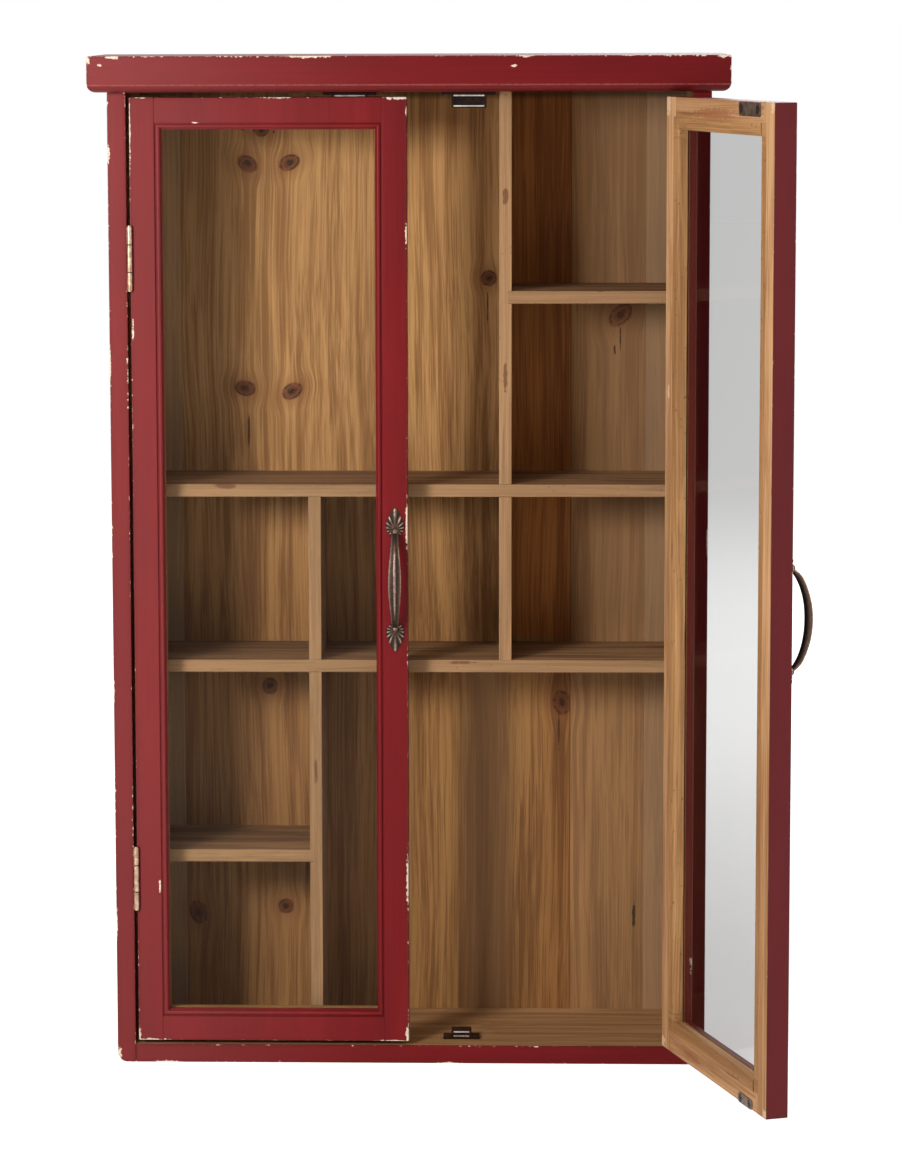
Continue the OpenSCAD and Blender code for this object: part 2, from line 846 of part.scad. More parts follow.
// Section of the door frame: x runs from the outer edge inwards and y from the face to the back.
module frame_section() {
    bead_x = flat_w + quirk_w + bead_r;
    bead_y = bead_r + bead_drop;
    square([flat_w, door_t]);
    translate([flat_w - over, step_d]) square([moulding_w + over, door_t - step_d]);
    translate([flat_w - over, quirk_d]) square([quirk_w + over + bead_r, door_t - quirk_d]);
    translate([bead_x, bead_y]) circle(r = bead_r);
    translate([bead_x, bead_y]) square([bead_r, door_t - bead_y]);
}

// A frame member: the section run along a line, then cut to the outline given in the door's plane.
module stile_bar() {
    linear_extrude(door_h) frame_section();
}

module rail_bar() {
    rotate([90, 0, 90]) linear_extrude(door_w) mirror([1, -1, 0]) frame_section();
}

module cut_to(outline) {
    intersection() {
        children();
        translate([0, door_t + over, 0]) rotate([90, 0, 0])
            linear_extrude(door_t + 2 * over) polygon(outline);
    }
}

// The rebate behind the glass's seat, which takes the glass and its beads.
module glazing_rebate() {
    translate([glazing_edge, glass_seat, glazing_edge])
        cube([door_w - 2 * glazing_edge, door_t - glass_seat + over, door_h - 2 * glazing_edge]);
}

// The tenon of the bottom rail at the hinge side. It starts inside the rail.
module tenon(grow = 0) {
    tenon_h = glazing_edge - 2 * tenon_inset;
    translate([flat_w - tenon_l - grow, (door_t - tenon_t) / 2 - grow, tenon_inset - grow])
        cube([tenon_l + grow + over, tenon_t + 2 * grow, tenon_h + 2 * grow]);
}

module hinge_side_tenons(grow = 0) {
    tenon(grow);
    translate([0, 0, door_h]) mirror([0, 0, 1]) tenon(grow);
}

// Puts its children, drawn at the hinge side of a door, at its meeting side.
module meeting_side() {
    translate([door_w, 0, 0]) mirrored() children();
}

module pin_notch() {
    half = hinge_l / 2 + knuckle_room;
    translate([0, notch_d, 0]) rotate([90, 0, 0]) linear_extrude(notch_d + over)
        polygon([
            [-over, half], [notch_w, half], [notch_w, -half], [0, -half - notch_w],
            [-over, -half - notch_w]
        ]);
}

// What the hinges take out of the hinge stile, in the door's own frame.
module hinge_cuts() {
    pin_local_x = pin_from_side - door_side_gap;
    for (z = hinge_zs) translate([0, 0, z]) {
        pin_notch();
        translate([-over, 0, -hinge_l / 2 - fixed_fit])
            cube([
                leaf_t + fixed_fit + over, leaf_reach - pin_forward + fixed_fit,
                hinge_l + 2 * fixed_fit
            ]);
        translate([pin_local_x, -pin_forward, 0]) door_leaf_screw_places(fixed_fit);
    }
}

module hinge_stile() {
    color(paint) difference() {
        cut_to(stile_outline) stile_bar();
        glazing_rebate();
        hinge_side_tenons(tenon_gap);
        hinge_cuts();
    }
}

module meeting_stile() {
    color(paint) difference() {
        meeting_side() cut_to(stile_outline) stile_bar();
        glazing_rebate();
        meeting_side() hinge_side_tenons(tenon_gap);
        handle_bolt_set(fixed_fit);
    }
}

module bottom_rail() {
    color(paint) {
        difference() {
            cut_to(rail_outline) rail_bar();
            glazing_rebate();
            strike_screw_set(fixed_fit);
        }
        tenon();
        meeting_side() tenon();
    }
}

module top_rail() {
    color(paint) {
        difference() {
            translate([0, 0, door_h]) mirror([0, 0, 1]) cut_to(rail_outline) rail_bar();
            glazing_rebate();
            strike_screw_set(fixed_fit);
        }
        translate([0, 0, door_h]) mirror([0, 0, 1]) {
            tenon();
            meeting_side() tenon();
        }
    }
}

module glass_pane() {
    edge = glazing_edge + glass_gap;
    color(pane) translate([edge, glass_seat, edge])
        cube([door_w - 2 * edge, glass_t, door_h - 2 * edge]);
}

// A bead of the given length along +Z, its outer edge at x = 0.
module glazing_strip(length) {
    depth = door_t - glass_back;
    linear_extrude(length) union() {
        square([glazing_w - glazing_r, depth]);
        square([glazing_w, depth - glazing_r]);
        translate([glazing_w - glazing_r, depth - glazing_r]) circle(r = glazing_r);
    }
}

module glazing_beads() {
    tall = door_h - 2 * glazing_edge;
    wide = door_w - 2 * glazing_edge - 2 * glazing_w - 2 * glazing_gap;
    color(raw_wood) {
        translate([glazing_edge, glass_back, glazing_edge]) glazing_strip(tall);
        meeting_side() translate([glazing_edge, glass_back, glazing_edge]) glazing_strip(tall);
        translate([glazing_edge + glazing_w + glazing_gap, glass_back, glazing_edge])
            rotate([90, 0, 90]) mirrored_section() glazing_strip(wide);
        translate([glazing_edge + glazing_w + glazing_gap, glass_back, door_h - glazing_edge])
            mirror([0, 0, 1]) rotate([90, 0, 90]) mirrored_section() glazing_strip(wide);
    }
}

// Swaps a section's x and y, for a piece that runs across the door.
module mirrored_section() {
    mirror([1, -1, 0]) children();
}

// ---- strike plates, on the back of the door

module strike_plate(size) {
    corner = [size[0] / 2 - strike_corner_r, size[1] / 2 - strike_corner_r];
    rotate([-90, 0, 0]) linear_extrude(strike_t) {
        square([2 * corner[0], size[1]], center = true);
        square([size[0], 2 * corner[1]], center = true);
        for (x = [-1, 1], y = [-1, 1])
            translate([x * corner[0], y * corner[1]]) circle(r = strike_corner_r);
    }
}

// Distance from the hinge edge of the door to the middle of a strike plate, for a catch at catch_x.
function strike_x(catch_x) = door_w - (catch_x - door_meeting_gap / 2);

module at_top_strike() {
    translate([strike_x(top_catch_x), door_t, top_strike_z]) children();
}

module at_bottom_strike() {
    translate([strike_x(bottom_catch_x), door_t, bottom_strike_z]) children();
}

module strike_bolts(size, grow) {
    for (side = [-1, 1])
        translate([side * (size[0] / 2 - strike_screw_inset), strike_t, 0])
            rotate([-90, 0, 0]) wood_screw(grow);
}

module strike_screw_set(grow = 0) {
    at_top_strike() strike_bolts(top_strike, grow);
    at_bottom_strike() strike_bolts(bottom_strike, grow);
}

module strike_top() {
    color(steel) difference() {
        at_top_strike() strike_plate(top_strike);
        strike_screw_set(fixed_fit);
    }
}

module strike_bottom() {
    color(steel) difference() {
        at_bottom_strike() strike_plate(bottom_strike);
        strike_screw_set(fixed_fit);
    }
}

// Every wood screw of one door, in the door's frame.
module wood_screws() {
    color(brass) {
        strike_screw_set();
        for (z = hinge_zs) translate([pin_from_side - door_side_gap, -pin_forward, z])
            door_leaf_screw_places();
    }
}

// ---- handles: x across, z along, and -y away from the door, with the middle of the handle at 0

module at_handle() {
    translate([handle_x, 0, handle_z - door_z0]) children();
}

// Angle along the arch of the bar, 0 at the lower foot and 180 at the upper.
function bar_angle(i) = 180 * i / bar_rings;
function bar_half_w(a) = bar_foot_half_w + (bar_mid_half_w - bar_foot_half_w) * pow(sin(a), bar_swell);
function bar_slope(a) = atan2(bar_rise * cos(a), foot_spacing / 2 * sin(a));

// A point of the bar's skin: ring angle a along the arch, b round the section.
function bar_point(a, b) = [
    bar_half_w(a) * cos(b),
    -bar_root_y - bar_rise * sin(a) - bar_t / 2 * sin(b) * cos(bar_slope(a)),
    -foot_spacing / 2 * cos(a) - bar_t / 2 * sin(b) * sin(bar_slope(a))
];

module handle_bar() {
    points = [
        for (i = [0:bar_rings], k = [0:bar_sides - 1]) bar_point(bar_angle(i), 360 * k / bar_sides)
    ];
    skin = [
        for (i = [0:bar_rings - 1], k = [0:bar_sides - 1])
            let (a = i * bar_sides + k, b = i * bar_sides + (k + 1) % bar_sides)
                each [[a, b, a + bar_sides], [b, b + bar_sides, a + bar_sides]]
    ];
    first = [for (k = [bar_sides - 1:-1:0]) k];
    last = [for (k = [0:bar_sides - 1]) bar_rings * bar_sides + k];
    polyhedron(points, concat(skin, [first, last]));
}

// Half width of an end plate at t, from 0 at its foot to 1 at its tip: a leaf with scalloped edges.
function leaf_w(t) = plate_half_w * pow(sin(180 * pow(t, plate_lean)), plate_fullness);
function plate_w(t) = leaf_w(t) * (1 + plate_scallop * cos(360 * plate_lobes * t));

module end_plate() {
    side = [
        for (i = [0:plate_steps])
            let (t = i / plate_steps) [max(plate_w(t), plate_tip_half_w), plate_l * t]
    ];
    other = [for (i = [plate_steps:-1:0]) [-side[i][0], side[i][1]]];
    translate([0, 0, foot_spacing / 2 - foot_r]) rotate([90, 0, 0])
        linear_extrude(plate_t) polygon(concat(side, other));
}

module handle_foot() {
    translate([0, 0, foot_spacing / 2]) rotate([90, 0, 0]) cylinder(h = foot_h, r = foot_r);
}

module handle() {
    color(bronze) difference() {
        at_handle() {
            handle_bar();
            for (side = [0, 1]) mirror([0, 0, side]) {
                end_plate();
                handle_foot();
            }
        }
        handle_bolt_set(fixed_fit);
    }
}

module handle_bolt_set(grow = 0) {
    at_handle() for (side = [-1, 1])
        translate([0, bolt_reach + grow, side * foot_spacing / 2])
            rotate([90, 0, 0]) rod(bolt_reach + bolt_grip + 2 * grow, bolt_r + grow);
}

module handle_bolts() {
    color(bronze) handle_bolt_set();
}

// ---- the case

top_board();
side_left();
side_right();
bottom_board();
back_strip_left();
back_board_wide();
back_board_narrow();
back_strip_right();
shelf_upper();
shelf_lower();
shelf_right();
shelf_left();
divider_upper();
divider_lower();
corner_dowels();
back_panel_pins();
hanger_plate(-1);  // hanger_plate_left
hanger_plate(1);  // hanger_plate_right
hanger_screws();
top_catch_left();
top_catch_right();
bottom_catch_left();
bottom_catch_right();
catch_magnets();
catch_pole_plates();
catch_screws();
frame_leaf(0);  // frame_leaf_left_upper
frame_leaf(1);  // frame_leaf_left_lower
mirrored() frame_leaf(0);  // frame_leaf_right_upper
mirrored() frame_leaf(1);  // frame_leaf_right_lower
hinge_pins();
frame_leaf_screws();
as_left_door() hinge_stile();  // left_hinge_stile
as_left_door() meeting_stile();  // left_meeting_stile
as_left_door() top_rail();  // left_top_rail
as_left_door() bottom_rail();  // left_bottom_rail
as_left_door() glass_pane();  // left_glass
as_left_door() glazing_beads();  // left_glazing_beads
door_leaf(0);  // left_door_leaf_upper
door_leaf(1);  // left_door_leaf_lower
as_left_door() handle();  // left_handle
as_left_door() handle_bolts();  // left_handle_screws
as_left_door() strike_top();  // left_strike_top
as_left_door() strike_bottom();  // left_strike_bottom
as_left_door() wood_screws();  // left_wood_screws
as_right_door() hinge_stile();  // right_hinge_stile
as_right_door() meeting_stile();  // right_meeting_stile
as_right_door() top_rail();  // right_top_rail
as_right_door() bottom_rail();  // right_bottom_rail
as_right_door() glass_pane();  // right_glass
as_right_door() glazing_beads();  // right_glazing_beads
on_right_door() door_leaf(0);  // right_door_leaf_upper
on_right_door() door_leaf(1);  // right_door_leaf_lower
as_right_door() handle();  // right_handle
as_right_door() handle_bolts();  // right_handle_screws
as_right_door() strike_top();  // right_strike_top
as_right_door() strike_bottom();  // right_strike_bottom
as_right_door() wood_screws();  // right_wood_screws
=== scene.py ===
import math

import bpy
from mathutils import Matrix, Vector


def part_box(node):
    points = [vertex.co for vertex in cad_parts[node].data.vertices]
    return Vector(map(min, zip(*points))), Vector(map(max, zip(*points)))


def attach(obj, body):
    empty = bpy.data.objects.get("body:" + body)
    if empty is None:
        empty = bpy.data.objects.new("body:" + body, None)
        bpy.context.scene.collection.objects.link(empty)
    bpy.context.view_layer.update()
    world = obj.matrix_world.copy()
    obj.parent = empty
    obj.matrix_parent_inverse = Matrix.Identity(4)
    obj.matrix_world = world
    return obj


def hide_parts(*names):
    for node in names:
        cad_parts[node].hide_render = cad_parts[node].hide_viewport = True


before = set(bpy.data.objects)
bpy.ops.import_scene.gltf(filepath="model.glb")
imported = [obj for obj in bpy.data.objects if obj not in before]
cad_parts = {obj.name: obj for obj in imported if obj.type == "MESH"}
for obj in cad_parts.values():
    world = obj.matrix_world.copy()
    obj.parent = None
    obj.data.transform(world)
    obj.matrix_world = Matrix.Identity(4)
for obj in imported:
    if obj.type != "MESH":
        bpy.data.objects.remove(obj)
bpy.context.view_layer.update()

# ---- the cabinet's own sizes, in metres

MM = 0.001
FRONT = -62.5 * MM  # front plane of the carcass and of the shut doors
DOOR_THICK = 18 * MM
DOOR_BACK = FRONT + DOOR_THICK  # the raw inner face of a shut door
GLASS_SEAT = 7.5 * MM
SIDE_INNER = 220 * MM  # half the inside width
BOTTOM_TOP = 14.5 * MM
BODY_TOP = 772 * MM
TOP_LIP = 777.6 * MM  # where the top board's flat front turns under
SHELF_FRONT = FRONT + 25 * MM
PIN = Vector((217.8 * MM, -64.2 * MM, 0))
OPEN_TURN = math.radians(108.5)  # how far the right door stands open
DOOR_LOW = Vector((-217.5 * MM, FRONT, 18 * MM))
DOOR_HIGH = Vector((-1.5 * MM, DOOR_BACK, 768 * MM))
HANDLE_PLACE = Vector((-11.5 * MM, FRONT, 390 * MM))
DOOR_MIDDLE_X = -109.5 * MM  # of the left door, as is all that follows
DOOR_MIDDLE_Z = 393 * MM
DOOR_EDGE = 107.5 * MM  # from the door's middle to where its narrow sides begin
REBATE_X = 85.5 * MM  # half the width and half the height of the rebate behind the glass
REBATE_Z = 352.5 * MM
BEAD_SPAN = 343 * MM  # half the height between a door's top and bottom glazing beads
HAIR = 0.01 * MM
WELD = 0.002 * MM  # points closer than this are one
FLAT = math.radians(0.6)  # faces that meet at less are one flat face
SHARP = math.radians(30)  # edges that turn more are arrises
ROUNDED = math.radians(32)  # and those that turn less than this are shaded round

CASE_BODY, LEFT_BODY, RIGHT_BODY = "cabinet", "left_door", "right_door"


def srgb(red, green, blue):
    """A colour in 0 to 255 as a shader takes it."""
    def linear(value):
        value /= 255
        return value / 12.92 if value <= 0.04045 else ((value + 0.055) / 1.055) ** 2.4
    return (linear(red), linear(green), linear(blue), 1.0)


def mm(*values):
    return tuple(value * MM for value in values)


def shut(point):
    """A point of the open right door, turned shut and mirrored to the left door's place."""
    turned = Matrix.Rotation(-OPEN_TURN, 3, "Z") @ (Vector(point) - PIN) + PIN
    return Vector((-turned.x, turned.y, turned.z))


def swung(point):
    """A point of the shut left door, mirrored to the right door and turned open."""
    mirrored = Vector((-point[0], point[1], point[2]))
    return Matrix.Rotation(OPEN_TURN, 3, "Z") @ (mirrored - PIN) + PIN


# ---- camera, floor and light

CAMERA_PLACE = (0.0762347, -3.0307212, 0.8333475)
CAMERA_TURNS = (1.7485, 6.8495, -0.177)  # to the left, down and about its own axis, in degrees
CAMERA_LENS = 116.861
CAMERA_SHIFT = (0.05, -0.10)


def place_camera():
    yaw, pitch, roll = (math.radians(turn) for turn in CAMERA_TURNS)
    ahead = Vector((-math.sin(yaw) * math.cos(pitch), math.cos(yaw) * math.cos(pitch), -math.sin(pitch)))
    level = Vector((math.cos(yaw), math.sin(yaw), 0))
    over = level.cross(ahead)
    right = level * math.cos(roll) + over * math.sin(roll)
    up = over * math.cos(roll) - level * math.sin(roll)
    camera = bpy.data.cameras.new("Front_Camera")
    camera.lens = CAMERA_LENS
    camera.shift_x, camera.shift_y = CAMERA_SHIFT
    camera.clip_end = 50
    holder = bpy.data.objects.new("Front camera", camera)
    rows = zip(right, up, -ahead, CAMERA_PLACE)
    holder.matrix_world = Matrix((*rows, (0, 0, 0, 1)))
    bpy.context.scene.collection.objects.link(holder)
    bpy.context.scene.camera = holder


def soft_lamp(name, place, aim, size, power):
    lamp = bpy.data.lights.new(name, "AREA")
    lamp.shape = "DISK"
    lamp.size = size
    lamp.energy = power
    holder = bpy.data.objects.new(name, lamp)
    holder.location = place
    holder.rotation_euler = (Vector(aim) - Vector(place)).to_track_quat("-Z", "Y").to_euler()
    bpy.context.scene.collection.objects.link(holder)


class Recipe:
    """The nodes of one finish, or of one effect that several finishes share."""

    def __init__(self, tree):
        self.tree = tree

    def feed(self, socket, value):
        if isinstance(value, bpy.types.NodeSocket):
            self.tree.links.new(value, socket)
        elif value is not None:
            socket.default_value = value

    def fill(self, sockets, values):
        for key, value in values.items():
            self.feed(sockets[key], value)

    def node(self, kind, inputs=None, **settings):
        made = self.tree.nodes.new("ShaderNode" + kind)
        for key, value in settings.items():
            setattr(made, key, value)
        self.fill(made.inputs, inputs or {})
        return made

    def use(self, tree, **inputs):
        return self.node("Group", inputs, node_tree=tree).outputs

    def calc(self, operation, *values, clamp=False):
        made = self.node("Math", operation=operation, use_clamp=clamp)
        for socket, value in zip(made.inputs, values):
            self.feed(socket, value)
        return made.outputs[0]

    def place(self, operation, *values, scale=None):
        made = self.node("VectorMath", operation=operation)
        for socket, value in zip(made.inputs, values):
            self.feed(socket, value)
        if scale is not None:
            self.feed(made.inputs["Scale"], scale)
        return made.outputs["Value" if operation in ("LENGTH", "DISTANCE", "DOT_PRODUCT") else "Vector"]

    def split(self, vector):
        return self.node("SeparateXYZ", {0: vector}).outputs

    def noise(self, vector, scale, detail=2.0, roughness=0.5, output=0):
        return self.node("TexNoise", {
            "Vector": vector, "Scale": scale, "Detail": detail, "Roughness": roughness}).outputs[output]

    def between(self, value, low, high, to_low=0.0, to_high=1.0):
        return self.node("MapRange", {
            "Value": value, "From Min": low, "From Max": high, "To Min": to_low, "To Max": to_high},
            interpolation_type="SMOOTHSTEP").outputs[0]

    def tint(self, factor, first, second):
        return self.node("Mix", {0: factor, 6: first, 7: second}, data_type="RGBA").outputs[2]

    def apart(self, first, second):
        return self.calc("ABSOLUTE", self.calc("SUBTRACT", first, second))

    def uneven(self, rough, amount):
        """A noise of 0 to 1 as a wander to both sides of 0."""
        return self.times(self.calc("SUBTRACT", rough, 0.5), amount)

    def most(self, *values):
        result = values[0]
        for value in values[1:]:
            result = self.calc("MAXIMUM", result, value)
        return result

    def times(self, *values):
        result = values[0]
        for value in values[1:]:
            result = self.calc("MULTIPLY", result, value)
        return result


def effect(name, takes, gives):
    """An empty node group with named sockets: its recipe, what it takes and what it gives."""
    tree = bpy.data.node_groups.new(name, "ShaderNodeTree")
    for label, kind, value in takes:
        socket = tree.interface.new_socket(name=label, in_out="INPUT", socket_type="NodeSocket" + kind)
        if value is not None:
            socket.default_value = value
    for label, kind in gives:
        tree.interface.new_socket(name=label, in_out="OUTPUT", socket_type="NodeSocket" + kind)
    start, end = tree.nodes.new("NodeGroupInput"), tree.nodes.new("NodeGroupOutput")
    return tree, Recipe(tree), start.outputs, end.inputs


def finish(name):
    """An empty material: it, its recipe and its shader."""
    material = bpy.data.materials.new(name)
    material.use_nodes = True
    shader = material.node_tree.nodes["Principled BSDF"]
    return material, Recipe(material.node_tree), shader


def pale_seen(recipe):
    """1 for what the camera sees, straight, in gloss or through glass, and 0 for the light on the pieces."""
    path = recipe.node("LightPath").outputs
    seen = recipe.most(path["Is Camera Ray"], path["Is Glossy Ray"], path["Is Transmission Ray"])
    return recipe.times(seen, recipe.calc("LESS_THAN", path["Diffuse Depth"], 0.5))


def build_studio():
    scene = bpy.context.scene
    scene.view_settings.view_transform = "Standard"
    world = bpy.data.worlds.new("Pale room")
    scene.world = world
    world.use_nodes = True
    room = Recipe(world.node_tree)
    lit = world.node_tree.nodes["Background"]
    room.fill(lit.inputs, {"Color": ROOM_COLOUR, "Strength": ROOM_LEVEL})
    seen = room.node("Background", {"Color": (1, 1, 1, 1), "Strength": 1.0})
    both = room.node("MixShader", {0: pale_seen(room), 1: lit.outputs[0], 2: seen.outputs[0]})
    room.feed(world.node_tree.nodes["World Output"].inputs["Surface"], both.outputs[0])

    bpy.ops.object.select_all(action="DESELECT")
    bpy.ops.mesh.primitive_plane_add(size=24, location=(0, 0, 0))
    floor = bpy.context.active_object
    floor.name = "Pale_Floor"
    floor_paint, recipe, shader = finish("Pale floor")
    away = recipe.place("LENGTH", recipe.node("TexCoord").outputs["Object"])
    recipe.fill(shader.inputs, {
        "Base Color": (0.86, 0.86, 0.86, 1), "Roughness": 1.0, "Specular IOR Level": 0.0,
        "Emission Color": (1, 1, 1, 1),
        "Emission Strength": recipe.times(pale_seen(recipe), recipe.between(away, *FLOOR_REACH, *FLOOR_GLOW))})
    floor.data.materials.append(floor_paint)

    for lamp in LAMPS:
        soft_lamp(*lamp)


ROOM_LEVEL = 0.21
ROOM_COLOUR = (1.0, 0.985, 0.96, 1)
FLOOR_REACH = (0.35, 1.5)  # where the floor's glow begins and ends to rise, from the middle
FLOOR_GLOW = (0.58, 0.83)
LAMPS = (
    # name, place, aim, size, power
    ("Key lamp", (-0.95, -1.45, 0.90), (0.0, 0.0, 0.42), 0.48, 26),
    ("Fill lamp", (1.7, -2.6, 1.1), (0.0, 0.0, 0.4), 1.6, 4.5),
    ("Side lamp", (2.3, -0.5, 1.3), (0.2, 0.0, 0.4), 1.5, 20),
    ("Top lamp", (-0.5, -0.9, 2.6), (0.0, 0.0, 0.5), 1.2, 10),
    ("Back lamp", (0.9, 2.4, 1.9), (0.0, 0.0, 0.5), 1.8, 30),
)

# ---- effects that several finishes share

def make_wood_grain():
    """Grain along Z: broad tone, thin dark streaks and the height of the fibres."""
    tree, r, take, give = effect(
        "Wood Grain",
        [("Vector", "Vector", None), ("Seed", "Float", 0.0), ("Ring Scale", "Float", 70.0)],
        [("Tone", "Float"), ("Streak", "Float"), ("Broad", "Float"), ("Height", "Float")])
    offset = r.place("SCALE", (0.37, 0.71, 1.30), scale=take["Seed"])
    moved = r.place("ADD", take["Vector"], offset)
    wander = r.place("SUBTRACT", r.noise(r.place("MULTIPLY", moved, (9, 9, 2.4)), 1.0, 2.0, 0.5, 1),
                     (0.5, 0.5, 0.5))
    bent = r.place("ADD", moved, r.place("SCALE", wander, scale=0.022))
    long_way = r.place("MULTIPLY", bent, (1, 1, 0.035))
    hair_way = r.place("MULTIPLY", bent, (1, 1, 0.010))
    rings = r.node("TexWave", {
        "Vector": long_way, "Scale": take["Ring Scale"], "Distortion": 5.0, "Detail": 3.0,
        "Detail Scale": 0.6, "Detail Roughness": 0.6},
        wave_type="BANDS", bands_direction="X", wave_profile="SAW").outputs["Fac"]
    streaks = r.noise(long_way, 95, 5.0, 0.62)
    hairs = r.noise(hair_way, 950, 2.0, 0.6)
    broad = r.noise(r.place("MULTIPLY", bent, (1, 1, 0.22)), 13, 3.0, 0.55)
    tone = r.calc("ADD", r.times(r.between(streaks, 0.30, 0.70), 0.50), r.times(rings, 0.15))
    tone = r.calc("ADD", tone, r.times(r.between(hairs, 0.30, 0.70), 0.35))
    streak = r.between(r.noise(long_way, 210, 3.0, 0.7), 0.60, 0.72)
    r.fill(give, {"Tone": tone, "Streak": streak, "Broad": r.between(broad, 0.32, 0.68),
                  "Height": r.calc("ADD", r.times(rings, 0.45), r.times(hairs, 0.55))})
    return tree


def make_knot():
    """One knot in a board: its dark eye, its rim, its rings, and the grain pushed round it."""
    tree, r, take, give = effect(
        "Knot",
        [("Vector", "Vector", None), ("Centre", "Vector", None), ("Stretch", "Vector", (1, 0, 1)),
         ("Turn", "Float", 0.0), ("Radius", "Float", 0.005), ("Rough", "Float", 0.5)],
        [("Eye", "Float"), ("Rim", "Float"), ("Halo", "Float"), ("Core", "Float"), ("Vector", "Vector")])
    away = r.place("SUBTRACT", take["Vector"], take["Centre"])
    turned = r.node("VectorRotate", {"Vector": away, "Angle": take["Turn"]}, rotation_type="Y_AXIS").outputs[0]
    shaped = r.place("MULTIPLY", turned, take["Stretch"])
    reach = r.calc("DIVIDE", r.place("LENGTH", shaped), take["Radius"])
    wobbly = r.calc("ADD", reach, r.uneven(take["Rough"], 0.7))
    rings = r.between(r.calc("SINE", r.times(wobbly, 15.0)), -0.2, 1.0)
    eye = r.between(wobbly, 1.12, 0.78)
    rim = r.times(r.between(r.apart(wobbly, 0.95), 0.24, 0.04), r.between(take["Rough"], 0.40, 0.54))
    push = r.times(r.between(reach, 3.4, 0.7), 0.42)
    pushed = r.place("MULTIPLY", r.place("SCALE", away, scale=push), (1, 0, 0.2))
    r.fill(give, {
        "Eye": r.times(eye, r.calc("ADD", 0.78, r.times(rings, 0.22))), "Rim": rim,
        "Halo": r.between(reach, 3.0, 0.9), "Core": r.between(wobbly, 0.55, 0.25),
        "Vector": r.place("SUBTRACT", take["Vector"], pushed)})
    return tree


def make_box_edge():
    """How far a point on a box's surface is from the box's nearest edge, in metres."""
    tree, r, take, give = effect(
        "Box Edge",
        [("Vector", "Vector", None), ("Centre", "Vector", None), ("Half", "Vector", None)],
        [("Distance", "Float")])
    inside = r.place("SUBTRACT", take["Half"],
                     r.place("ABSOLUTE", r.place("SUBTRACT", take["Vector"], take["Centre"])))
    x, y, z = r.split(inside)
    small, large = r.calc("MINIMUM", x, y), r.calc("MAXIMUM", x, y)
    r.feed(give["Distance"], r.calc("MAXIMUM", small, r.calc("MINIMUM", large, z)))
    return tree


def make_worn_patch():
    """A ragged bare patch at one place."""
    tree, r, take, give = effect(
        "Worn Patch",
        [("Vector", "Vector", None), ("Centre", "Vector", None), ("Reach", "Vector", None),
         ("Rough", "Float", 0.5)],
        [("Patch", "Float")])
    away = r.place("SUBTRACT", take["Vector"], take["Centre"])
    reach = r.place("LENGTH", r.place("DIVIDE", away, take["Reach"]))
    ragged = r.calc("ADD", reach, r.uneven(take["Rough"], 3.4))
    r.feed(give["Patch"], r.between(ragged, 1.06, 0.80))
    return tree


def make_distressed_paint():
    """Brushed red paint, brushed along Z, under a thin brown glaze, worn through to pale undercoat."""
    tree, r, take, give = effect(
        "Distressed Paint",
        [("Vector", "Vector", None), ("Edge", "Float", 0.01), ("Patch", "Float", 0.0), ("Rough", "Float", 0.5),
         ("Edge Wear", "Float", 0.6), ("Fade", "Float", 0.0)],
        [("Color", "Color"), ("Bare", "Float"), ("Roughness", "Float"), ("Height", "Float")])
    brushed = r.place("MULTIPLY", take["Vector"], (1, 1, 0.018))
    strokes = r.noise(brushed, 480, 3.0, 0.55)
    slow = r.noise(r.place("MULTIPLY", take["Vector"], (1, 1, 0.25)), 22, 3.0, 0.55)
    fine = r.noise(take["Vector"], 900, 2.0, 0.5)
    red = r.tint(r.between(strokes, 0.30, 0.70), srgb(107, 10, 14), srgb(114, 12, 17))
    red = r.tint(r.times(r.between(slow, 0.42, 0.70), 0.45), red, srgb(88, 13, 14))
    red = r.tint(r.times(r.between(slow, 0.46, 0.28), 0.3), red, srgb(138, 30, 34))
    # Painted sheen: paler, pinker paint as far as this input asks, light painted into the colour.
    red = r.tint(take["Fade"], red, srgb(164, 88, 86))
    glazed = r.times(r.between(take["Edge"], 0.0035, 0.0), 0.28)
    red = r.tint(glazed, red, srgb(84, 18, 18))
    zone = r.between(r.noise(take["Vector"], 11, 2.0, 0.5), 0.44, 0.64)
    held = r.calc("SUBTRACT", 0.0014, r.calc("ADD", r.times(take["Edge Wear"], 0.0014), r.times(zone, 0.0007)))
    ragged = r.uneven(take["Rough"], 0.007)
    thin = r.calc("SUBTRACT", r.calc("ADD", take["Edge"], held), ragged)
    rubbed = r.between(thin, 0.0008, 0.0001)
    bare = r.most(rubbed, take["Patch"])
    pale = r.tint(r.between(fine, 0.35, 0.65), srgb(206, 176, 148), srgb(238, 224, 206))
    rim = r.times(r.between(bare, 0.02, 0.35), r.between(bare, 0.9, 0.5))
    colour = r.tint(r.between(bare, 0.25, 0.75), red, pale)
    colour = r.tint(r.times(rim, 0.5), colour, srgb(120, 70, 48))
    r.fill(give, {
        "Color": colour, "Bare": bare,
        "Roughness": r.calc("ADD", r.between(strokes, 0.3, 0.7, 0.36, 0.46), r.times(bare, 0.35)),
        "Height": r.calc("SUBTRACT", r.times(strokes, 0.2), r.times(bare, 0.8))})
    return tree


WOOD_GRAIN = make_wood_grain()
KNOT = make_knot()
BOX_EDGE = make_box_edge()
WORN_PATCH = make_worn_patch()
DISTRESSED_PAINT = make_distressed_paint()

# ---- finishes

UPRIGHT = (0.0, 0.0, 0.0)
LEVEL = (0.0, math.radians(90), 0.0)  # turns a piece's length from X to Z


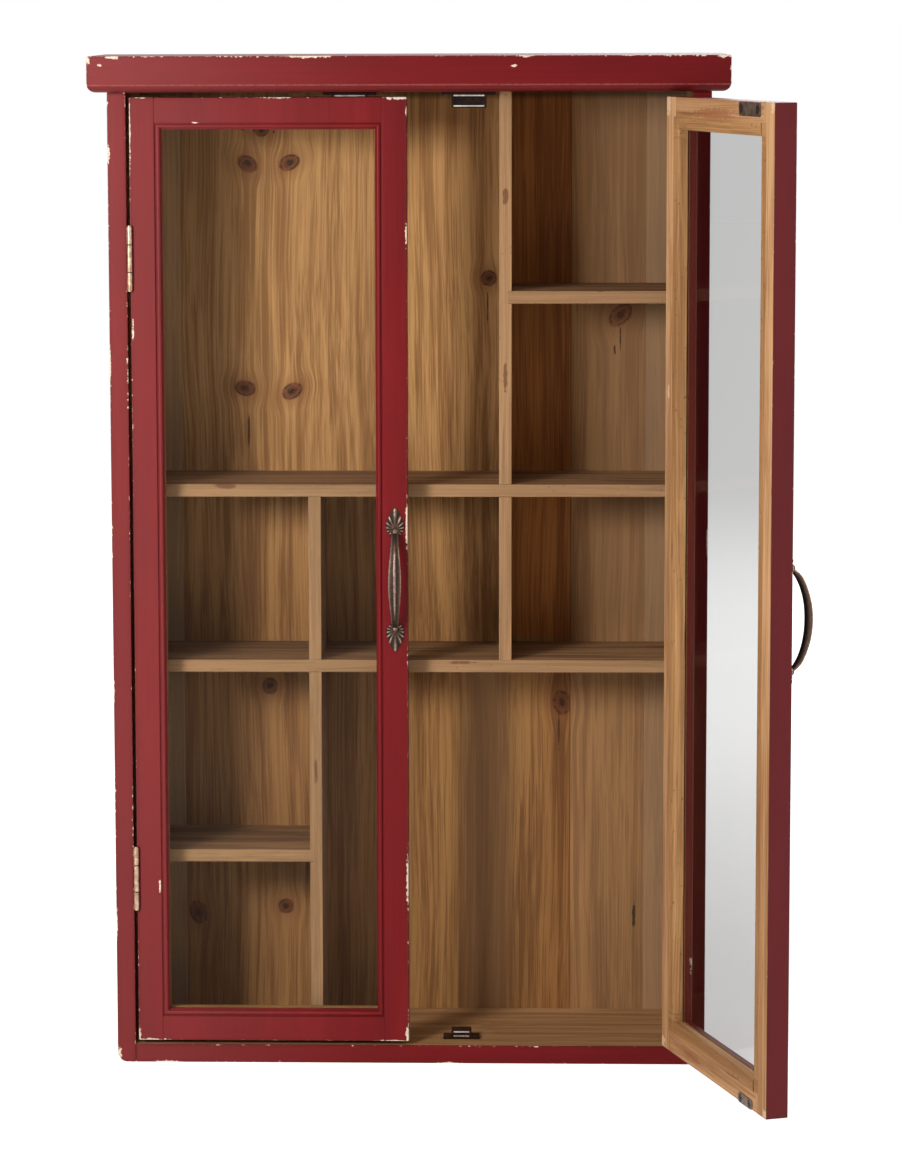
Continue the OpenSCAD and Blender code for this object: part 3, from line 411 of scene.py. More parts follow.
def rest_place(recipe, door=None):
    """Where a point is on its piece; for the open right door, where it is when shut and mirrored."""
    place = recipe.node("TexCoord").outputs["Object"]
    if door == RIGHT_BODY:
        cosine, sine = math.cos(OPEN_TURN), math.sin(OPEN_TURN)
        back_x, back_y = PIN.x * cosine + PIN.y * sine, -PIN.x * sine + PIN.y * cosine
        place = recipe.node("Mapping", {
            "Vector": place, "Scale": (-1, 1, 1), "Rotation": (0, 0, OPEN_TURN),
            "Location": (back_x - PIN.x, PIN.y - back_y, 0)}).outputs[0]
    return place


def turned(recipe, place, way):
    return place if way == UPRIGHT else recipe.node("Mapping", {"Vector": place, "Rotation": way}).outputs[0]


def put_bump(recipe, shader, height, strength, distance):
    bump = recipe.node("Bump", {"Height": height, "Strength": strength, "Distance": distance})
    recipe.feed(shader.inputs["Normal"], bump.outputs[0])


FIR_TONES = {
    # deep, middle, light
    "door": (srgb(130, 86, 50), srgb(182, 134, 90), srgb(214, 170, 126)),
    "back": (srgb(94, 58, 27), srgb(138, 95, 52), srgb(160, 117, 70)),
    "shelf": (srgb(94, 62, 35), srgb(139, 101, 66), srgb(165, 126, 87)),
    "bottom": (srgb(112, 76, 45), srgb(168, 125, 82), srgb(200, 156, 110)),
    "bead": (srgb(110, 70, 38), srgb(168, 120, 72), srgb(190, 144, 94)),
}


def fir(recipe, place, tones, seed, rings=70.0, streaks=0.5, even=0.45, broad=0.42):
    """Raw aged fir: its colour and the height of its grain."""
    deep, middle, light = FIR_TONES[tones]
    grain = recipe.use(WOOD_GRAIN, Vector=place, Seed=seed, **{"Ring Scale": rings})
    colour = recipe.tint(recipe.between(grain["Tone"], 0.20, 0.82), deep, light)
    colour = recipe.tint(even, colour, middle)
    colour = recipe.tint(recipe.times(grain["Broad"], broad), colour, deep)
    colour = recipe.tint(recipe.times(grain["Streak"], streaks), colour, srgb(84, 52, 28))
    return colour, grain["Height"]


def patches(recipe, place, rough, spots):
    """Bare patches at the spots, each given in mm as x, y, z and its reach each way."""
    masks = [recipe.use(WORN_PATCH, Vector=place, Rough=rough, Centre=mm(*spot[:3]), Reach=mm(*spot[3:]))["Patch"]
             for spot in spots]
    return recipe.most(*masks) if masks else 0.0


def painted(name, way, box, spots, seed, tones="door", door=None, raw=None, edge_wear=0.3, brush=None,
            fillers=(), stains=(), lip=None):
    """Distressed red outside and raw fir, its grain along way, where raw(recipe, place) says."""
    material, r, shader = finish(name)
    place = rest_place(r, door)
    shifted = r.place("ADD", place, (seed * 0.213, seed * 0.117, seed * 0.331))
    rough = r.noise(shifted, 330, 4.0, 0.62)
    centre, half = (box[0] + box[1]) / 2, (box[1] - box[0]) / 2
    edge = r.use(BOX_EDGE, Vector=place, Centre=tuple(centre), Half=tuple(half))["Distance"]
    along = turned(r, shifted, way)
    across = r.split(rest_place(r))[0]
    # The sheen input paints light into the paint: paler and pinker towards the left (-X) side of the cabinet.
    paint = r.use(DISTRESSED_PAINT, Vector=shifted if brush == UPRIGHT else along, Edge=edge, Rough=rough,
                  Patch=patches(r, place, rough, spots), Fade=r.between(across, 0.02, -0.26, 0.0, 0.21),
                  **{"Edge Wear": edge_wear})
    # Painted shade: the paint turns a deeper red towards +X, the right-hand side, where less light falls.
    deep = r.between(across, -0.12, 0.24, 0.0, 0.45)
    coat = r.tint(deep, paint["Color"], srgb(84, 4, 7))
    coat = r.tint(paint["Bare"], coat, paint["Color"])
    if lip is not None:
        up = r.split(place)[2]
        # Painted highlight: a pale line along the lip where the flat front meets the rounding; the paint is also
        # darker and browner on the rounding below it.
        coat = r.tint(r.times(r.between(up, lip, lip - 0.002), 0.35), coat, srgb(88, 34, 28))
        line = r.between(r.apart(up, lip), 0.0009, 0.0002)
        coat = r.tint(r.times(line, r.between(rough, 0.3, 0.6, 0.1, 0.32)), coat, srgb(176, 112, 106))
    if door:
        # Painted sheen: the doors' narrow sides are greyed, as light grazing them would show.
        out = r.apart(r.split(place)[0], DOOR_MIDDLE_X)
        painted_sheen_sides = r.between(out, DOOR_EDGE - 0.0003, DOOR_EDGE + 0.0003)
        coat = r.tint(r.times(painted_sheen_sides, 0.35), coat, srgb(86, 48, 50))
    wood, fibres = fir(r, along, tones, seed)
    if stains:
        wood = r.tint(r.times(patches(r, place, rough, stains), 0.55), wood, srgb(136, 78, 50))
    if fillers:
        wood = r.tint(r.times(patches(r, place, rough, fillers), 0.75), wood, srgb(216, 184, 148))
    mask = raw(r, place) if raw else 0.0
    r.fill(shader.inputs, {
        "Base Color": r.tint(mask, coat, wood), "Specular IOR Level": 0.15,
        "Roughness": r.calc("ADD", paint["Roughness"], r.times(mask, 0.3), clamp=True)})
    height = r.calc("ADD", r.times(paint["Height"], r.calc("SUBTRACT", 1.0, mask)), r.times(fibres, mask))
    put_bump(r, shader, height, 0.35, 0.0004)
    return material


def raw_door(r, place):
    """The door's inner face and the rebate behind the glass are bare wood."""
    x, y, z = r.split(place)
    back = r.between(y, DOOR_BACK - 0.0007, DOOR_BACK - 0.0003)
    within = r.times(r.between(r.apart(x, DOOR_MIDDLE_X), REBATE_X + 0.0003, REBATE_X - 0.0003),
                     r.between(r.apart(z, DOOR_MIDDLE_Z), REBATE_Z + 0.0003, REBATE_Z - 0.0003))
    return r.most(back, r.times(within, r.between(y, FRONT + GLASS_SEAT - 0.0002, FRONT + GLASS_SEAT)))


def raw_side(r, place):
    x, y = r.split(place)[0:2]
    inner = r.between(r.calc("ABSOLUTE", x), SIDE_INNER + 0.0006, SIDE_INNER + 0.0003)
    return r.times(inner, r.between(y, DOOR_BACK - 0.002, DOOR_BACK))


def raw_bottom(r, place):
    y, z = r.split(place)[1:3]
    return r.times(r.between(z, BOTTOM_TOP - 0.0006, BOTTOM_TOP - 0.0003),
                   r.between(y, FRONT + 0.0012, FRONT + 0.0022))


def raw_top(r, place):
    x, y, z = r.split(place)
    under = r.between(z, BODY_TOP + 0.0006, BODY_TOP + 0.0003)
    within = r.times(r.between(r.calc("ABSOLUTE", x), SIDE_INNER, SIDE_INNER - 0.001),
                     r.between(y, DOOR_BACK, DOOR_BACK + 0.002))
    return r.times(under, within)


def on_plane(y, *spots):
    """Spots on one plane across Y, each given in mm as x, z and its reach each way."""
    return tuple((x, y, z, *reach) for x, z, *reach in spots)


FACE = -62.5  # front plane of doors and carcass, in mm
DOOR_SPOTS = on_plane(
    FACE,
    # x, z and the reach each way, on the left door
    (-207.8, 768.4, 10, 3, 1.2), (-216.8, 741, 0.5, 2, 28),
    (-100.5, 768.3, 10, 3, 1.3), (-9, 767.2, 8.5, 3, 1.5),
    (-166, 748.4, 2.5, 3, 0.6), (-1.8, 756.8, 1.1, 3, 3.6),
    (-1.8, 661, 1.1, 3, 8), (-2, 432, 1.2, 3, 20), (-2, 149, 1.3, 3, 20),
    (-2.4, 23.5, 1.8, 3, 6.5), (-11, 18.2, 11, 3, 0.8),
    (-217.3, 23.5, 1.5, 3, 6), (-207, 18.4, 12, 3, 1.1),
    (-199.4, 142.5, 0.8, 3, 6.5), (-215.9, 587, 0.8, 2, 8),
)
RIGHT_DOOR_SPOTS = on_plane(
    FACE,
    (-212, 768.4, 6, 3, 1.2), (-60, 768.3, 8, 3, 1.2), (-120, 18.2, 12, 3, 1.0),
    (-217.3, 320, 0.8, 3, 9), (-24.5, 700, 0.8, 3, 7), (-193.4, 90, 0.8, 3, 8),
    (-216.9, 560, 0.8, 3, 12),
)
INSIDE = -44.5  # inner plane of the doors
FILLER_SPOTS = on_plane(
    INSIDE,
    (-214, 762, 5, 3, 8), (-214, 23, 4.5, 3, 5), (-3.5, 765, 4, 3, 4),
    (-3.5, 21, 4, 3, 4.5), (-210, 540, 2, 3, 5),
)
STAIN_SPOTS = on_plane(INSIDE, (-118, 757, 40, 3, 4.5), (-150, 26, 18, 3, 3))
TOP_FACE = -78.5
TOP_SPOTS = on_plane(
    TOP_FACE,
    (-228.7, 799.4, 4.5, 4, 1.7), (-238, 793, 1.8, 4, 1.2), (-75.8, 799.8, 17, 4, 1.4),
    (91.8, 799.8, 7, 4, 1.4), (81.4, 792, 3, 4, 0.9), (243, 799.3, 5, 4, 1.5),
    (-247.5, 797, 1.8, 4, 3.6), (170, 799.9, 6, 4, 0.6),
)
SIDE_SPOTS = on_plane(
    FACE,
    (-234.0, 725, 1.2, 3, 6.5), (-233.8, 6, 2.4, 3, 6), (-234.3, 560, 0.7, 2, 12),
    (-234.3, 300, 0.7, 2, 9), (-234.3, 112, 0.8, 2, 14), (234.2, 420, 0.9, 2, 11),
)
BOTTOM_SPOTS = on_plane(FACE, (-194, 0.4, 10, 3, 1.1), (-224, 1, 5, 3, 1.2), (30, 0.3, 9, 3, 0.7))


def seasoned(name, way, tones, seed, rings=70.0, streaks=0.5, pale_front=None, door=None, dents=0.0,
             level_past=None, even=0.45, marks=()):
    """Plain raw fir, with a paler front edge, dents, marks and level ends where they are given."""
    material, r, shader = finish(name)
    place = rest_place(r, door)
    shifted = r.place("ADD", place, (seed * 0.19, seed * 0.07, seed * 0.29))
    along = turned(r, shifted, way)
    if level_past is not None:
        level = r.calc("GREATER_THAN", r.apart(r.split(place)[2], DOOR_MIDDLE_Z), level_past)
        along = r.node("Mix", {0: level, 4: along, 5: turned(r, shifted, LEVEL)}, data_type="VECTOR").outputs[1]
    colour, height = fir(r, along, tones, seed, rings, streaks, even)
    if pale_front is not None:
        y = r.split(place)[1]
        front = r.between(y, pale_front + 0.0009, pale_front + 0.0002)
        colour = r.tint(r.times(front, 0.4), colour, srgb(180, 138, 96))
    if dents:
        bruises = r.between(r.noise(place, 260, 2.0, 0.5), 0.66, 0.74)
        colour = r.tint(r.times(bruises, dents), colour, srgb(78, 46, 26))
        height = r.calc("SUBTRACT", height, r.times(bruises, 0.8))
    if marks:
        ragged = r.calc("ADD", 0.5, r.uneven(r.noise(place, 240, 3.0, 0.6), 0.6))
        colour = r.tint(r.times(patches(r, place, ragged, marks), 0.7), colour, srgb(88, 48, 24))
    r.fill(shader.inputs, {"Base Color": colour, "Roughness": 0.72, "Specular IOR Level": 0.3})
    put_bump(r, shader, height, 0.4, 0.0004)
    return material


BACK_FACE = 54.5  # inner face of the back boards, in mm
SEAM = 128 * MM  # between the wide and the narrow back board
STRIP = 187.8 * MM  # where the corner strips begin
DIVIDER = 75.5 * MM  # the upper divider, at the back boards
LOWER_SHELF = 325 * MM
KNOTS = (
    # x, z, radius in mm, stretch across and along, turn in degrees, darkness
    (-121.9, 739.0, 5.6, 1.0, 1.1, 0, 1.0), (-133.4, 712.0, 7.0, 0.85, 1.15, -30, 1.0),
    (-99.5, 712.7, 7.2, 0.85, 1.2, 25, 1.0), (-136.5, 529.9, 7.0, 0.85, 1.15, -10, 1.0),
    (-98.3, 527.5, 7.2, 0.85, 1.2, 30, 1.0), (61.6, 619.3, 6.2, 1.0, 1.0, 0, 1.0),
    (168.1, 589.4, 8.2, 0.75, 1.15, 45, 0.75), (-117.9, 284.5, 6.0, 1.0, 0.9, 0, 1.0),
    (121.4, 271.2, 8.0, 1.12, 0.82, 10, 0.9), (-178.9, 94.7, 7.5, 1.1, 0.8, 15, 1.0),
    (-106.0, 100.2, 6.0, 1.0, 1.0, 0, 1.0),
)
CRACKS = (
    # x, z, reach across and along, in mm
    (-133.6, 496, 1.1, 14), (-128, 741, 1.2, 3), (163.5, 561.5, 1.0, 3.6), (168, 572, 0.6, 12),
    (181.1, 94.2, 1.5, 10), (-137, 740, 0.9, 1.2), (-112, 738, 0.9, 1.2), (60.6, 596, 0.6, 14),
    (119, 250, 0.6, 16),
)


def back_board_wood():
    """The back boards: upright grain round knots, paler corner strips, and an inner face with painted light and shade
    in zones.
    """
    material, r, shader = finish("Back Board Fir")
    place = rest_place(r)
    rough = r.noise(place, 240, 3.0, 0.6)
    x, y, z = r.split(place)
    wide = r.calc("LESS_THAN", x, SEAM)
    flowing, eyes, rims, halos, cores = place, [], [], [], []
    for left, up, radius, across, along, turn, dark in KNOTS:
        knot = r.use(KNOT, Vector=place, Centre=mm(left, BACK_FACE, up), Stretch=(across, 0, along),
                     Turn=math.radians(turn), Radius=radius * MM, Rough=rough)
        here = r.times(dark, wide) if left * MM < SEAM else dark
        eyes.append(r.times(knot["Eye"], here))
        rims.append(r.times(knot["Rim"], here))
        halos.append(r.times(knot["Halo"], here))
        cores.append(r.times(knot["Core"], here))
        flowing = r.place("ADD", flowing, r.place("SUBTRACT", knot["Vector"], place))
    board = r.most(r.calc("SUBTRACT", 1.0, wide),
                   r.times(r.calc("GREATER_THAN", x, STRIP), 2.0),
                   r.times(r.calc("LESS_THAN", x, -STRIP), 3.0))
    shift = r.node("CombineXYZ", {"X": r.times(board, 0.41), "Z": r.times(board, 0.7)}).outputs[0]
    colour, height = fir(r, r.place("ADD", flowing, shift), "back", 3.0, 46.0, 0.5, 0.3, 0.24)
    inner = r.calc("LESS_THAN", y, (BACK_FACE + 1) * MM)
    # Painted light: the wide board's inner face is made lighter where it is open to the front, and more so higher up.
    high = r.times(inner, r.between(z, 0.30, 0.56))
    behind = r.times(inner, r.calc("GREATER_THAN", x, DIVIDER), r.calc("GREATER_THAN", z, LOWER_SHELF))
    open_part = r.times(wide, r.calc("SUBTRACT", 1.0, behind))
    painted_light_gains = [r.calc("ADD", 1.0, r.times(open_part, r.calc("ADD", base, r.times(high, more))))
             for base, more in ((0.22, 0.60), (0.21, 0.76), (0.14, 1.0))]
    painted_light_gain = r.node("CombineXYZ", {"X": painted_light_gains[0], "Y": painted_light_gains[1], "Z": painted_light_gains[2]}).outputs[0]
    colour = r.place("MULTIPLY", colour, painted_light_gain)
    # Painted shade colour: behind the right-hand cells the wide board is made redder and less blue, the colour of its
    # shade there.
    painted_shade_tint = r.tint(r.times(behind, wide), (1, 1, 1, 1), (1.5, 1.12, 0.72, 1))
    colour = r.place("MULTIPLY", colour, painted_shade_tint)
    narrow = r.calc("SUBTRACT", 1.0, wide)
    # Painted light: the board right of the seam is lightened for 30 mm, most above the lower shelf, against the upper
    # divider's cast shadow.
    painted_light_by_seam = r.times(inner, narrow, r.between(x, SEAM + 0.030, SEAM), r.between(z, 0.30, 0.34, 0.32, 0.95))
    colour = r.place("SCALE", colour, scale=r.calc("ADD", 1.0, painted_light_by_seam))
    # Painted shade: the boards right of the seam are darker above the lower shelf, in the small right-hand cells.
    colour = r.tint(r.times(inner, narrow, r.between(z, 0.30, 0.36), 0.35), colour, srgb(84, 56, 30))
    strip = r.most(r.calc("GREATER_THAN", x, STRIP), r.calc("LESS_THAN", x, -STRIP))
    colour = r.tint(r.times(strip, 0.44), colour, srgb(172, 140, 106))
    middle = r.times(narrow, r.calc("LESS_THAN", x, STRIP))
    colour = r.tint(r.times(middle, 0.22), colour, srgb(172, 132, 94))
    low = r.times(inner, r.between(z, 0.34, 0.30))
    by_knot = r.times(wide, low, r.between(x, SEAM - 0.036, SEAM - 0.008), 0.8)
    colour = r.place("MULTIPLY", colour, r.tint(by_knot, (1, 1, 1, 1), (0.76, 0.66, 0.54, 1)))
    dull = r.times(r.between(r.apart(x, 0.060), 0.030, 0.006), low, 0.6)
    colour = r.tint(dull, colour, srgb(146, 108, 74))
    eye, rim, halo, core = r.most(*eyes), r.most(*rims), r.most(*halos), r.most(*cores)
    colour = r.tint(r.times(halo, 0.42), colour, srgb(126, 76, 38))
    colour = r.tint(r.times(eye, 0.97), colour, srgb(96, 46, 16))
    colour = r.tint(r.times(core, 0.9), colour, srgb(34, 12, 4))
    colour = r.tint(r.times(rim, 0.8), colour, srgb(50, 20, 7))
    # Painted shadow: the back boards darken towards their top, above 762 mm, in the shade under the top board.
    corner = r.times(inner, r.between(z, 0.762, 0.768), 0.7)
    colour = r.tint(corner, colour, srgb(36, 18, 12))
    seam = r.between(r.apart(x, SEAM), 0.0007, 0.0002)
    colour = r.tint(r.times(seam, 0.5), colour, srgb(58, 34, 16))
    ragged = r.calc("ADD", 0.5, r.uneven(rough, 0.5))
    crack = patches(r, place, ragged, [(left, BACK_FACE, up, across, 6, along) for left, up, across, along in CRACKS])
    colour = r.tint(r.times(crack, 0.85), colour, srgb(42, 22, 12))
    r.fill(shader.inputs, {"Base Color": colour, "Roughness": 0.74, "Specular IOR Level": 0.28})
    put_bump(r, shader, r.calc("SUBTRACT", height, r.most(r.times(rim, 0.5), crack)), 0.4, 0.0005)
    return material


def pane():
    """Glass, clear straight on and grey at a slant, that lets the lamps' light through."""
    material, r, shader = finish("Pane Glass")
    slant = r.node("LayerWeight", {"Blend": 0.5}).outputs["Facing"]
    tint = r.tint(r.between(slant, 0.25, 0.62), (0.985, 0.99, 0.985, 1), (0.475, 0.477, 0.475, 1))
    r.fill(shader.inputs, {"Base Color": tint, "Roughness": 0.0, "IOR": 1.1, "Transmission Weight": 1.0})
    passing = r.node("BsdfTransparent", {"Color": (0.94, 0.945, 0.94, 1)})
    path = r.node("LightPath").outputs
    unseen = r.most(path["Is Shadow Ray"], path["Is Diffuse Ray"])
    both = r.node("MixShader", {0: unseen, 1: shader.outputs[0], 2: passing.outputs[0]})
    r.feed(material.node_tree.nodes["Material Output"].inputs["Surface"], both.outputs[0])
    return material


def metal(name, dark, light, scale, low, high, metallic=1.0, spots=None, spot_amount=0.0, gloss=0.5, gaps=(),
          sinks=(), door=None):
    """An aged metal: clouds of two tones, tarnish, uneven gloss, dark gaps at heights, dark discs at screw sinks."""
    material, r, shader = finish(name)
    place = rest_place(r, door)
    cloud = r.noise(place, scale, 4.0, 0.6)
    fine = r.noise(place, scale * 6, 2.0, 0.6)
    colour = r.tint(r.between(cloud, 0.34, 0.66), dark, light)
    if spots:
        colour = r.tint(r.times(r.between(fine, 0.56, 0.70), spot_amount), colour, spots)
    for height in gaps:
        away = r.apart(r.split(place)[2], height)
        colour = r.tint(r.between(away, 0.0006, 0.0003), colour, srgb(30, 16, 10))
    for x, z in sinks:
        away = r.place("LENGTH", r.place("MULTIPLY", r.place("SUBTRACT", place, (x * MM, 0, z * MM)), (1, 0, 1)))
        colour = r.tint(r.times(r.between(away, 0.0035, 0.0029), 0.93), colour, srgb(26, 15, 10))
    r.fill(shader.inputs, {"Base Color": colour, "Roughness": r.between(fine, 0.3, 0.7, low, high),
                           "Metallic": metallic, "Specular IOR Level": gloss})
    put_bump(r, shader, fine, 0.15, 0.0002)
    return material


def antique_bronze():
    """Dark bronze in the hollows, rubbed bright on the ridges, by the casting's own relief."""
    material, r, shader = finish("Antique Bronze")
    place = rest_place(r)
    relief = r.node("Attribute", attribute_name="relief").outputs["Fac"]
    cloud = r.noise(place, 420, 4.0, 0.65)
    worn = r.calc("ADD", relief, r.uneven(cloud, 0.55))
    colour = r.tint(r.between(worn, 0.24, 0.66), srgb(20, 12, 8), srgb(84, 63, 51))
    colour = r.tint(r.between(worn, 0.72, 1.08), colour, srgb(178, 148, 130))
    r.fill(shader.inputs, {"Base Color": colour, "Roughness": r.between(worn, 0.2, 0.9, 0.62, 0.42),
                           "Metallic": r.between(worn, 0.1, 0.6, 0.5, 0.8)})
    put_bump(r, shader, r.noise(place, 1500, 3.0, 0.6), 0.25, 0.0002)
    return material


def brown_plastic():
    """Dark brown moulded plastic with a slight sheen."""
    material, r, shader = finish("Catch Plastic")
    cloud = r.noise(rest_place(r), 190, 3.0, 0.6)
    r.fill(shader.inputs, {
        "Base Color": r.tint(r.between(cloud, 0.35, 0.65), srgb(30, 12, 8), srgb(46, 20, 13)),
        "Roughness": r.between(cloud, 0.3, 0.7, 0.34, 0.44), "Specular IOR Level": 0.12})
    put_bump(r, shader, r.noise(rest_place(r), 1800, 2.0, 0.5), 0.08, 0.0001)
    return material


# ---- pieces softened from the frame

def only(piece):
    bpy.ops.object.select_all(action="DESELECT")
    piece.select_set(True)
    bpy.context.view_layer.objects.active = piece


def open_all(piece):
    """The piece alone, in edit mode with all of it selected."""
    only(piece)
    bpy.ops.object.mode_set(mode="EDIT")
    bpy.ops.mesh.select_all(action="SELECT")


def wear_finish(piece, material):
    """The piece takes one finish all over."""
    if not piece.material_slots:
        piece.data.materials.append(material)
    for socket in piece.material_slots:
        socket.material = material


def near_box_edge(point, low, high):
    """How far a point is from a box's nearest edge line."""
    gaps = sorted(min(abs(point[i] - low[i]), abs(point[i] - high[i])) for i in range(3))
    return gaps[1]


def mark_arrises(piece, box, undo, shortest, always):
    """Gives a bevel weight to the outer edges that a maker would ease with sandpaper."""
    mesh = piece.data
    faces = {}
    for face in mesh.polygons:
        for key in face.edge_keys:
            faces.setdefault(key, []).append(face)
    weights = mesh.attributes.new("bevel_weight_edge", "FLOAT", "EDGE")
    low, high = box
    for edge in mesh.edges:
        pair = faces.get(tuple(sorted(edge.vertices)), [])
        if len(pair) != 2:
            continue
        first, second = pair
        if first.normal.angle(second.normal, 0) < SHARP:
            continue
        if (second.center - first.center).dot(first.normal) > 0:
            continue
        a, b = (mesh.vertices[i].co for i in edge.vertices)
        ends = [undo(a), undo(b)] if undo else [a, b]
        outer = max(near_box_edge(p, low, high) for p in ends) < 0.3 * MM and (b - a).length > shortest
        if outer or (always and always((a + b) / 2)):
            weights.data[edge.index].value = 1.0


def soften(node, material, body=CASE_BODY, name=None, width=0.8 * MM, box=None, undo=None,
           shortest=12 * MM, always=None, reshape=None):
    """A copy of a plain piece with its outer edges eased."""
    only(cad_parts[node])
    bpy.ops.object.duplicate()
    piece = bpy.context.active_object
    for key in list(piece.keys()):
        del piece[key]
    piece.parent = None
    piece.name = piece.data.name = name or node.title()
    open_all(piece)
    bpy.ops.mesh.customdata_custom_splitnormals_clear()
    bpy.ops.mesh.remove_doubles(threshold=WELD)
    bpy.ops.mesh.dissolve_limited(angle_limit=FLAT)
    bpy.ops.object.mode_set(mode="OBJECT")
    if reshape:
        reshape(piece.data)
    mark_arrises(piece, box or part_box(node), undo, shortest, always)
    bevel = piece.modifiers.new("Eased edges", "BEVEL")
    bevel.limit_method = "WEIGHT"
    bevel.width = width
    bevel.segments = 2
    bevel.use_clamp_overlap = False
    bpy.ops.object.modifier_apply(modifier=bevel.name)
    bpy.ops.object.shade_smooth_by_angle(angle=ROUNDED)
    flats = piece.modifiers.new("Flat faces stay flat", "WEIGHTED_NORMAL")
    flats.keep_sharp = True
    bpy.ops.object.modifier_apply(modifier=flats.name)
    wear_finish(piece, material)
    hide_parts(node)
    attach(piece, body)
    return piece


def along_front(point):
    return abs(point.y - FRONT) < 0.2 * MM


BACK_BOARDS = ("back_strip_left", "back_board_wide", "back_board_narrow", "back_strip_right")
SHELF_FACE = -37.5  # front plane of shelves and dividers, in mm
SHELF_MARKS = on_plane(
    SHELF_FACE,
    # small knots and bruises on the front edges
    (-147, 461, 8, 4, 2.2), (-60, 463, 9, 3, 1.0), (40, 320, 12, 3, 1.1),
    (150, 616, 8, 3, 1.0), (-120, 323, 10, 3, 1.0), (172, 464, 9, 3, 1.2),
)
DIVIDER_MARKS = on_plane(
    SHELF_FACE,
    (75, 690, 2.2, 4, 7), (75, 548, 1.6, 4, 12), (-76, 232, 1.4, 4, 10),
)


def build_carcass():
    soften("top_board", painted(
        "Top Board Paint", LEVEL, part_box("top_board"), TOP_SPOTS, 1.0, raw=raw_top, edge_wear=0.42, lip=TOP_LIP),
        width=1.0 * MM)
    for side, seed in (("left", 1.5), ("right", 2.5)):
        soften("side_" + side, painted(
            side.title() + " Side Paint", UPRIGHT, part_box("side_" + side), SIDE_SPOTS, seed, "shelf",
            raw=raw_side, edge_wear=0.2), name=side.title() + "_Side", always=along_front)
    soften("bottom_board", painted(
        "Bottom Board Paint", LEVEL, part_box("bottom_board"), BOTTOM_SPOTS, 4.0, "bottom",
        raw=raw_bottom, edge_wear=0.1), always=along_front)
    shelf = seasoned("Shelf Fir", LEVEL, "shelf", 5.0, 60.0, 0.7, SHELF_FRONT, dents=0.25, even=0.2,
                     marks=SHELF_MARKS)
    upright = seasoned("Divider Fir", UPRIGHT, "shelf", 6.0, 60.0, 0.7, SHELF_FRONT, dents=0.2, even=0.25,
                       marks=DIVIDER_MARKS)
    for node in ("shelf_upper", "shelf_lower", "shelf_right", "shelf_left", "divider_upper", "divider_lower"):
        soften(node, shelf if node.startswith("shelf") else upright, width=0.6 * MM)
    back = back_board_wood()
    boxes = [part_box(node) for node in BACK_BOARDS]
    seams = [(left[1].x, right[0].x) for left, right in zip(boxes, boxes[1:])]

    def close_seams(mesh):
        for vertex in mesh.vertices:
            for left, right in seams:
                to_left, to_right = abs(vertex.co.x - left), abs(vertex.co.x - right)
                if min(to_left, to_right) < HAIR:
                    vertex.co.x = (left + right) / 2 + (-HAIR if to_left < to_right else HAIR)

    for node in BACK_BOARDS:
        soften(node, back, width=0.35 * MM, reshape=close_seams)


def build_door(side, body):
    undo = shut if body == RIGHT_BODY else None
    seed = 7.0 if body == LEFT_BODY else 11.0
    title = side.title()
    spots = DOOR_SPOTS if body == LEFT_BODY else RIGHT_DOOR_SPOTS
    upright, level = (
        painted(title + " Door " + part + " Paint", way, (DOOR_LOW, DOOR_HIGH), spots, seed, "door", body,
                raw_door, 0.12, UPRIGHT, FILLER_SPOTS, STAIN_SPOTS)
        for part, way in (("Stile", UPRIGHT), ("Rail", LEVEL)))
    for part, material in (("hinge_stile", upright), ("meeting_stile", upright), ("top_rail", level),
                           ("bottom_rail", level)):
        soften(side + "_" + part, material, body, box=(DOOR_LOW, DOOR_HIGH), undo=undo)
    wear_finish(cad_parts[side + "_glass"], PANE)
    wear_finish(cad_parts[side + "_glazing_beads"],
                seasoned(title + " Glazing Bead Fir", UPRIGHT, "bead", seed + 3, 90.0, 0.6, door=body, dents=0.6,
                         level_past=BEAD_SPAN))


PANE = pane()
BRONZE = antique_bronze()
HINGE_BRASS = metal("Hinge Brass", srgb(148, 118, 94), srgb(200, 170, 144), 260, 0.28, 0.42,
                    spots=srgb(96, 70, 50), spot_amount=0.5,
                    gaps=[z * MM for z in (139.3, 160.7, 632.3, 653.7)])
SCREW_STEEL = metal("Screw Steel", srgb(34, 26, 22), srgb(58, 47, 40), 400, 0.45, 0.6, metallic=0.6)
ZINC = metal("Zinc Plate", srgb(150, 152, 154), srgb(186, 188, 190), 160, 0.32, 0.5)
STRIKE_SINKS = ((-62.2, 762.25), (-30.8, 762.25), (-48.7, 22.05), (-31.3, 22.05))
STRIKES = {side: metal(side.title() + " Strike Steel", srgb(98, 84, 73), srgb(136, 118, 103), 180, 0.4, 0.58,
                       spots=srgb(70, 50, 38), spot_amount=0.5, sinks=STRIKE_SINKS, door=body)
           for side, body in (("left", LEFT_BODY), ("right", RIGHT_BODY))}
POLES = metal("Pole Steel", srgb(168, 160, 150), srgb(214, 208, 200), 220, 0.25, 0.4)
PLASTIC = brown_plastic()
FERRITE = metal("Magnet Ferrite", srgb(24, 15, 12), srgb(40, 26, 20), 300, 0.6, 0.75, metallic=0.0, gloss=0.08)


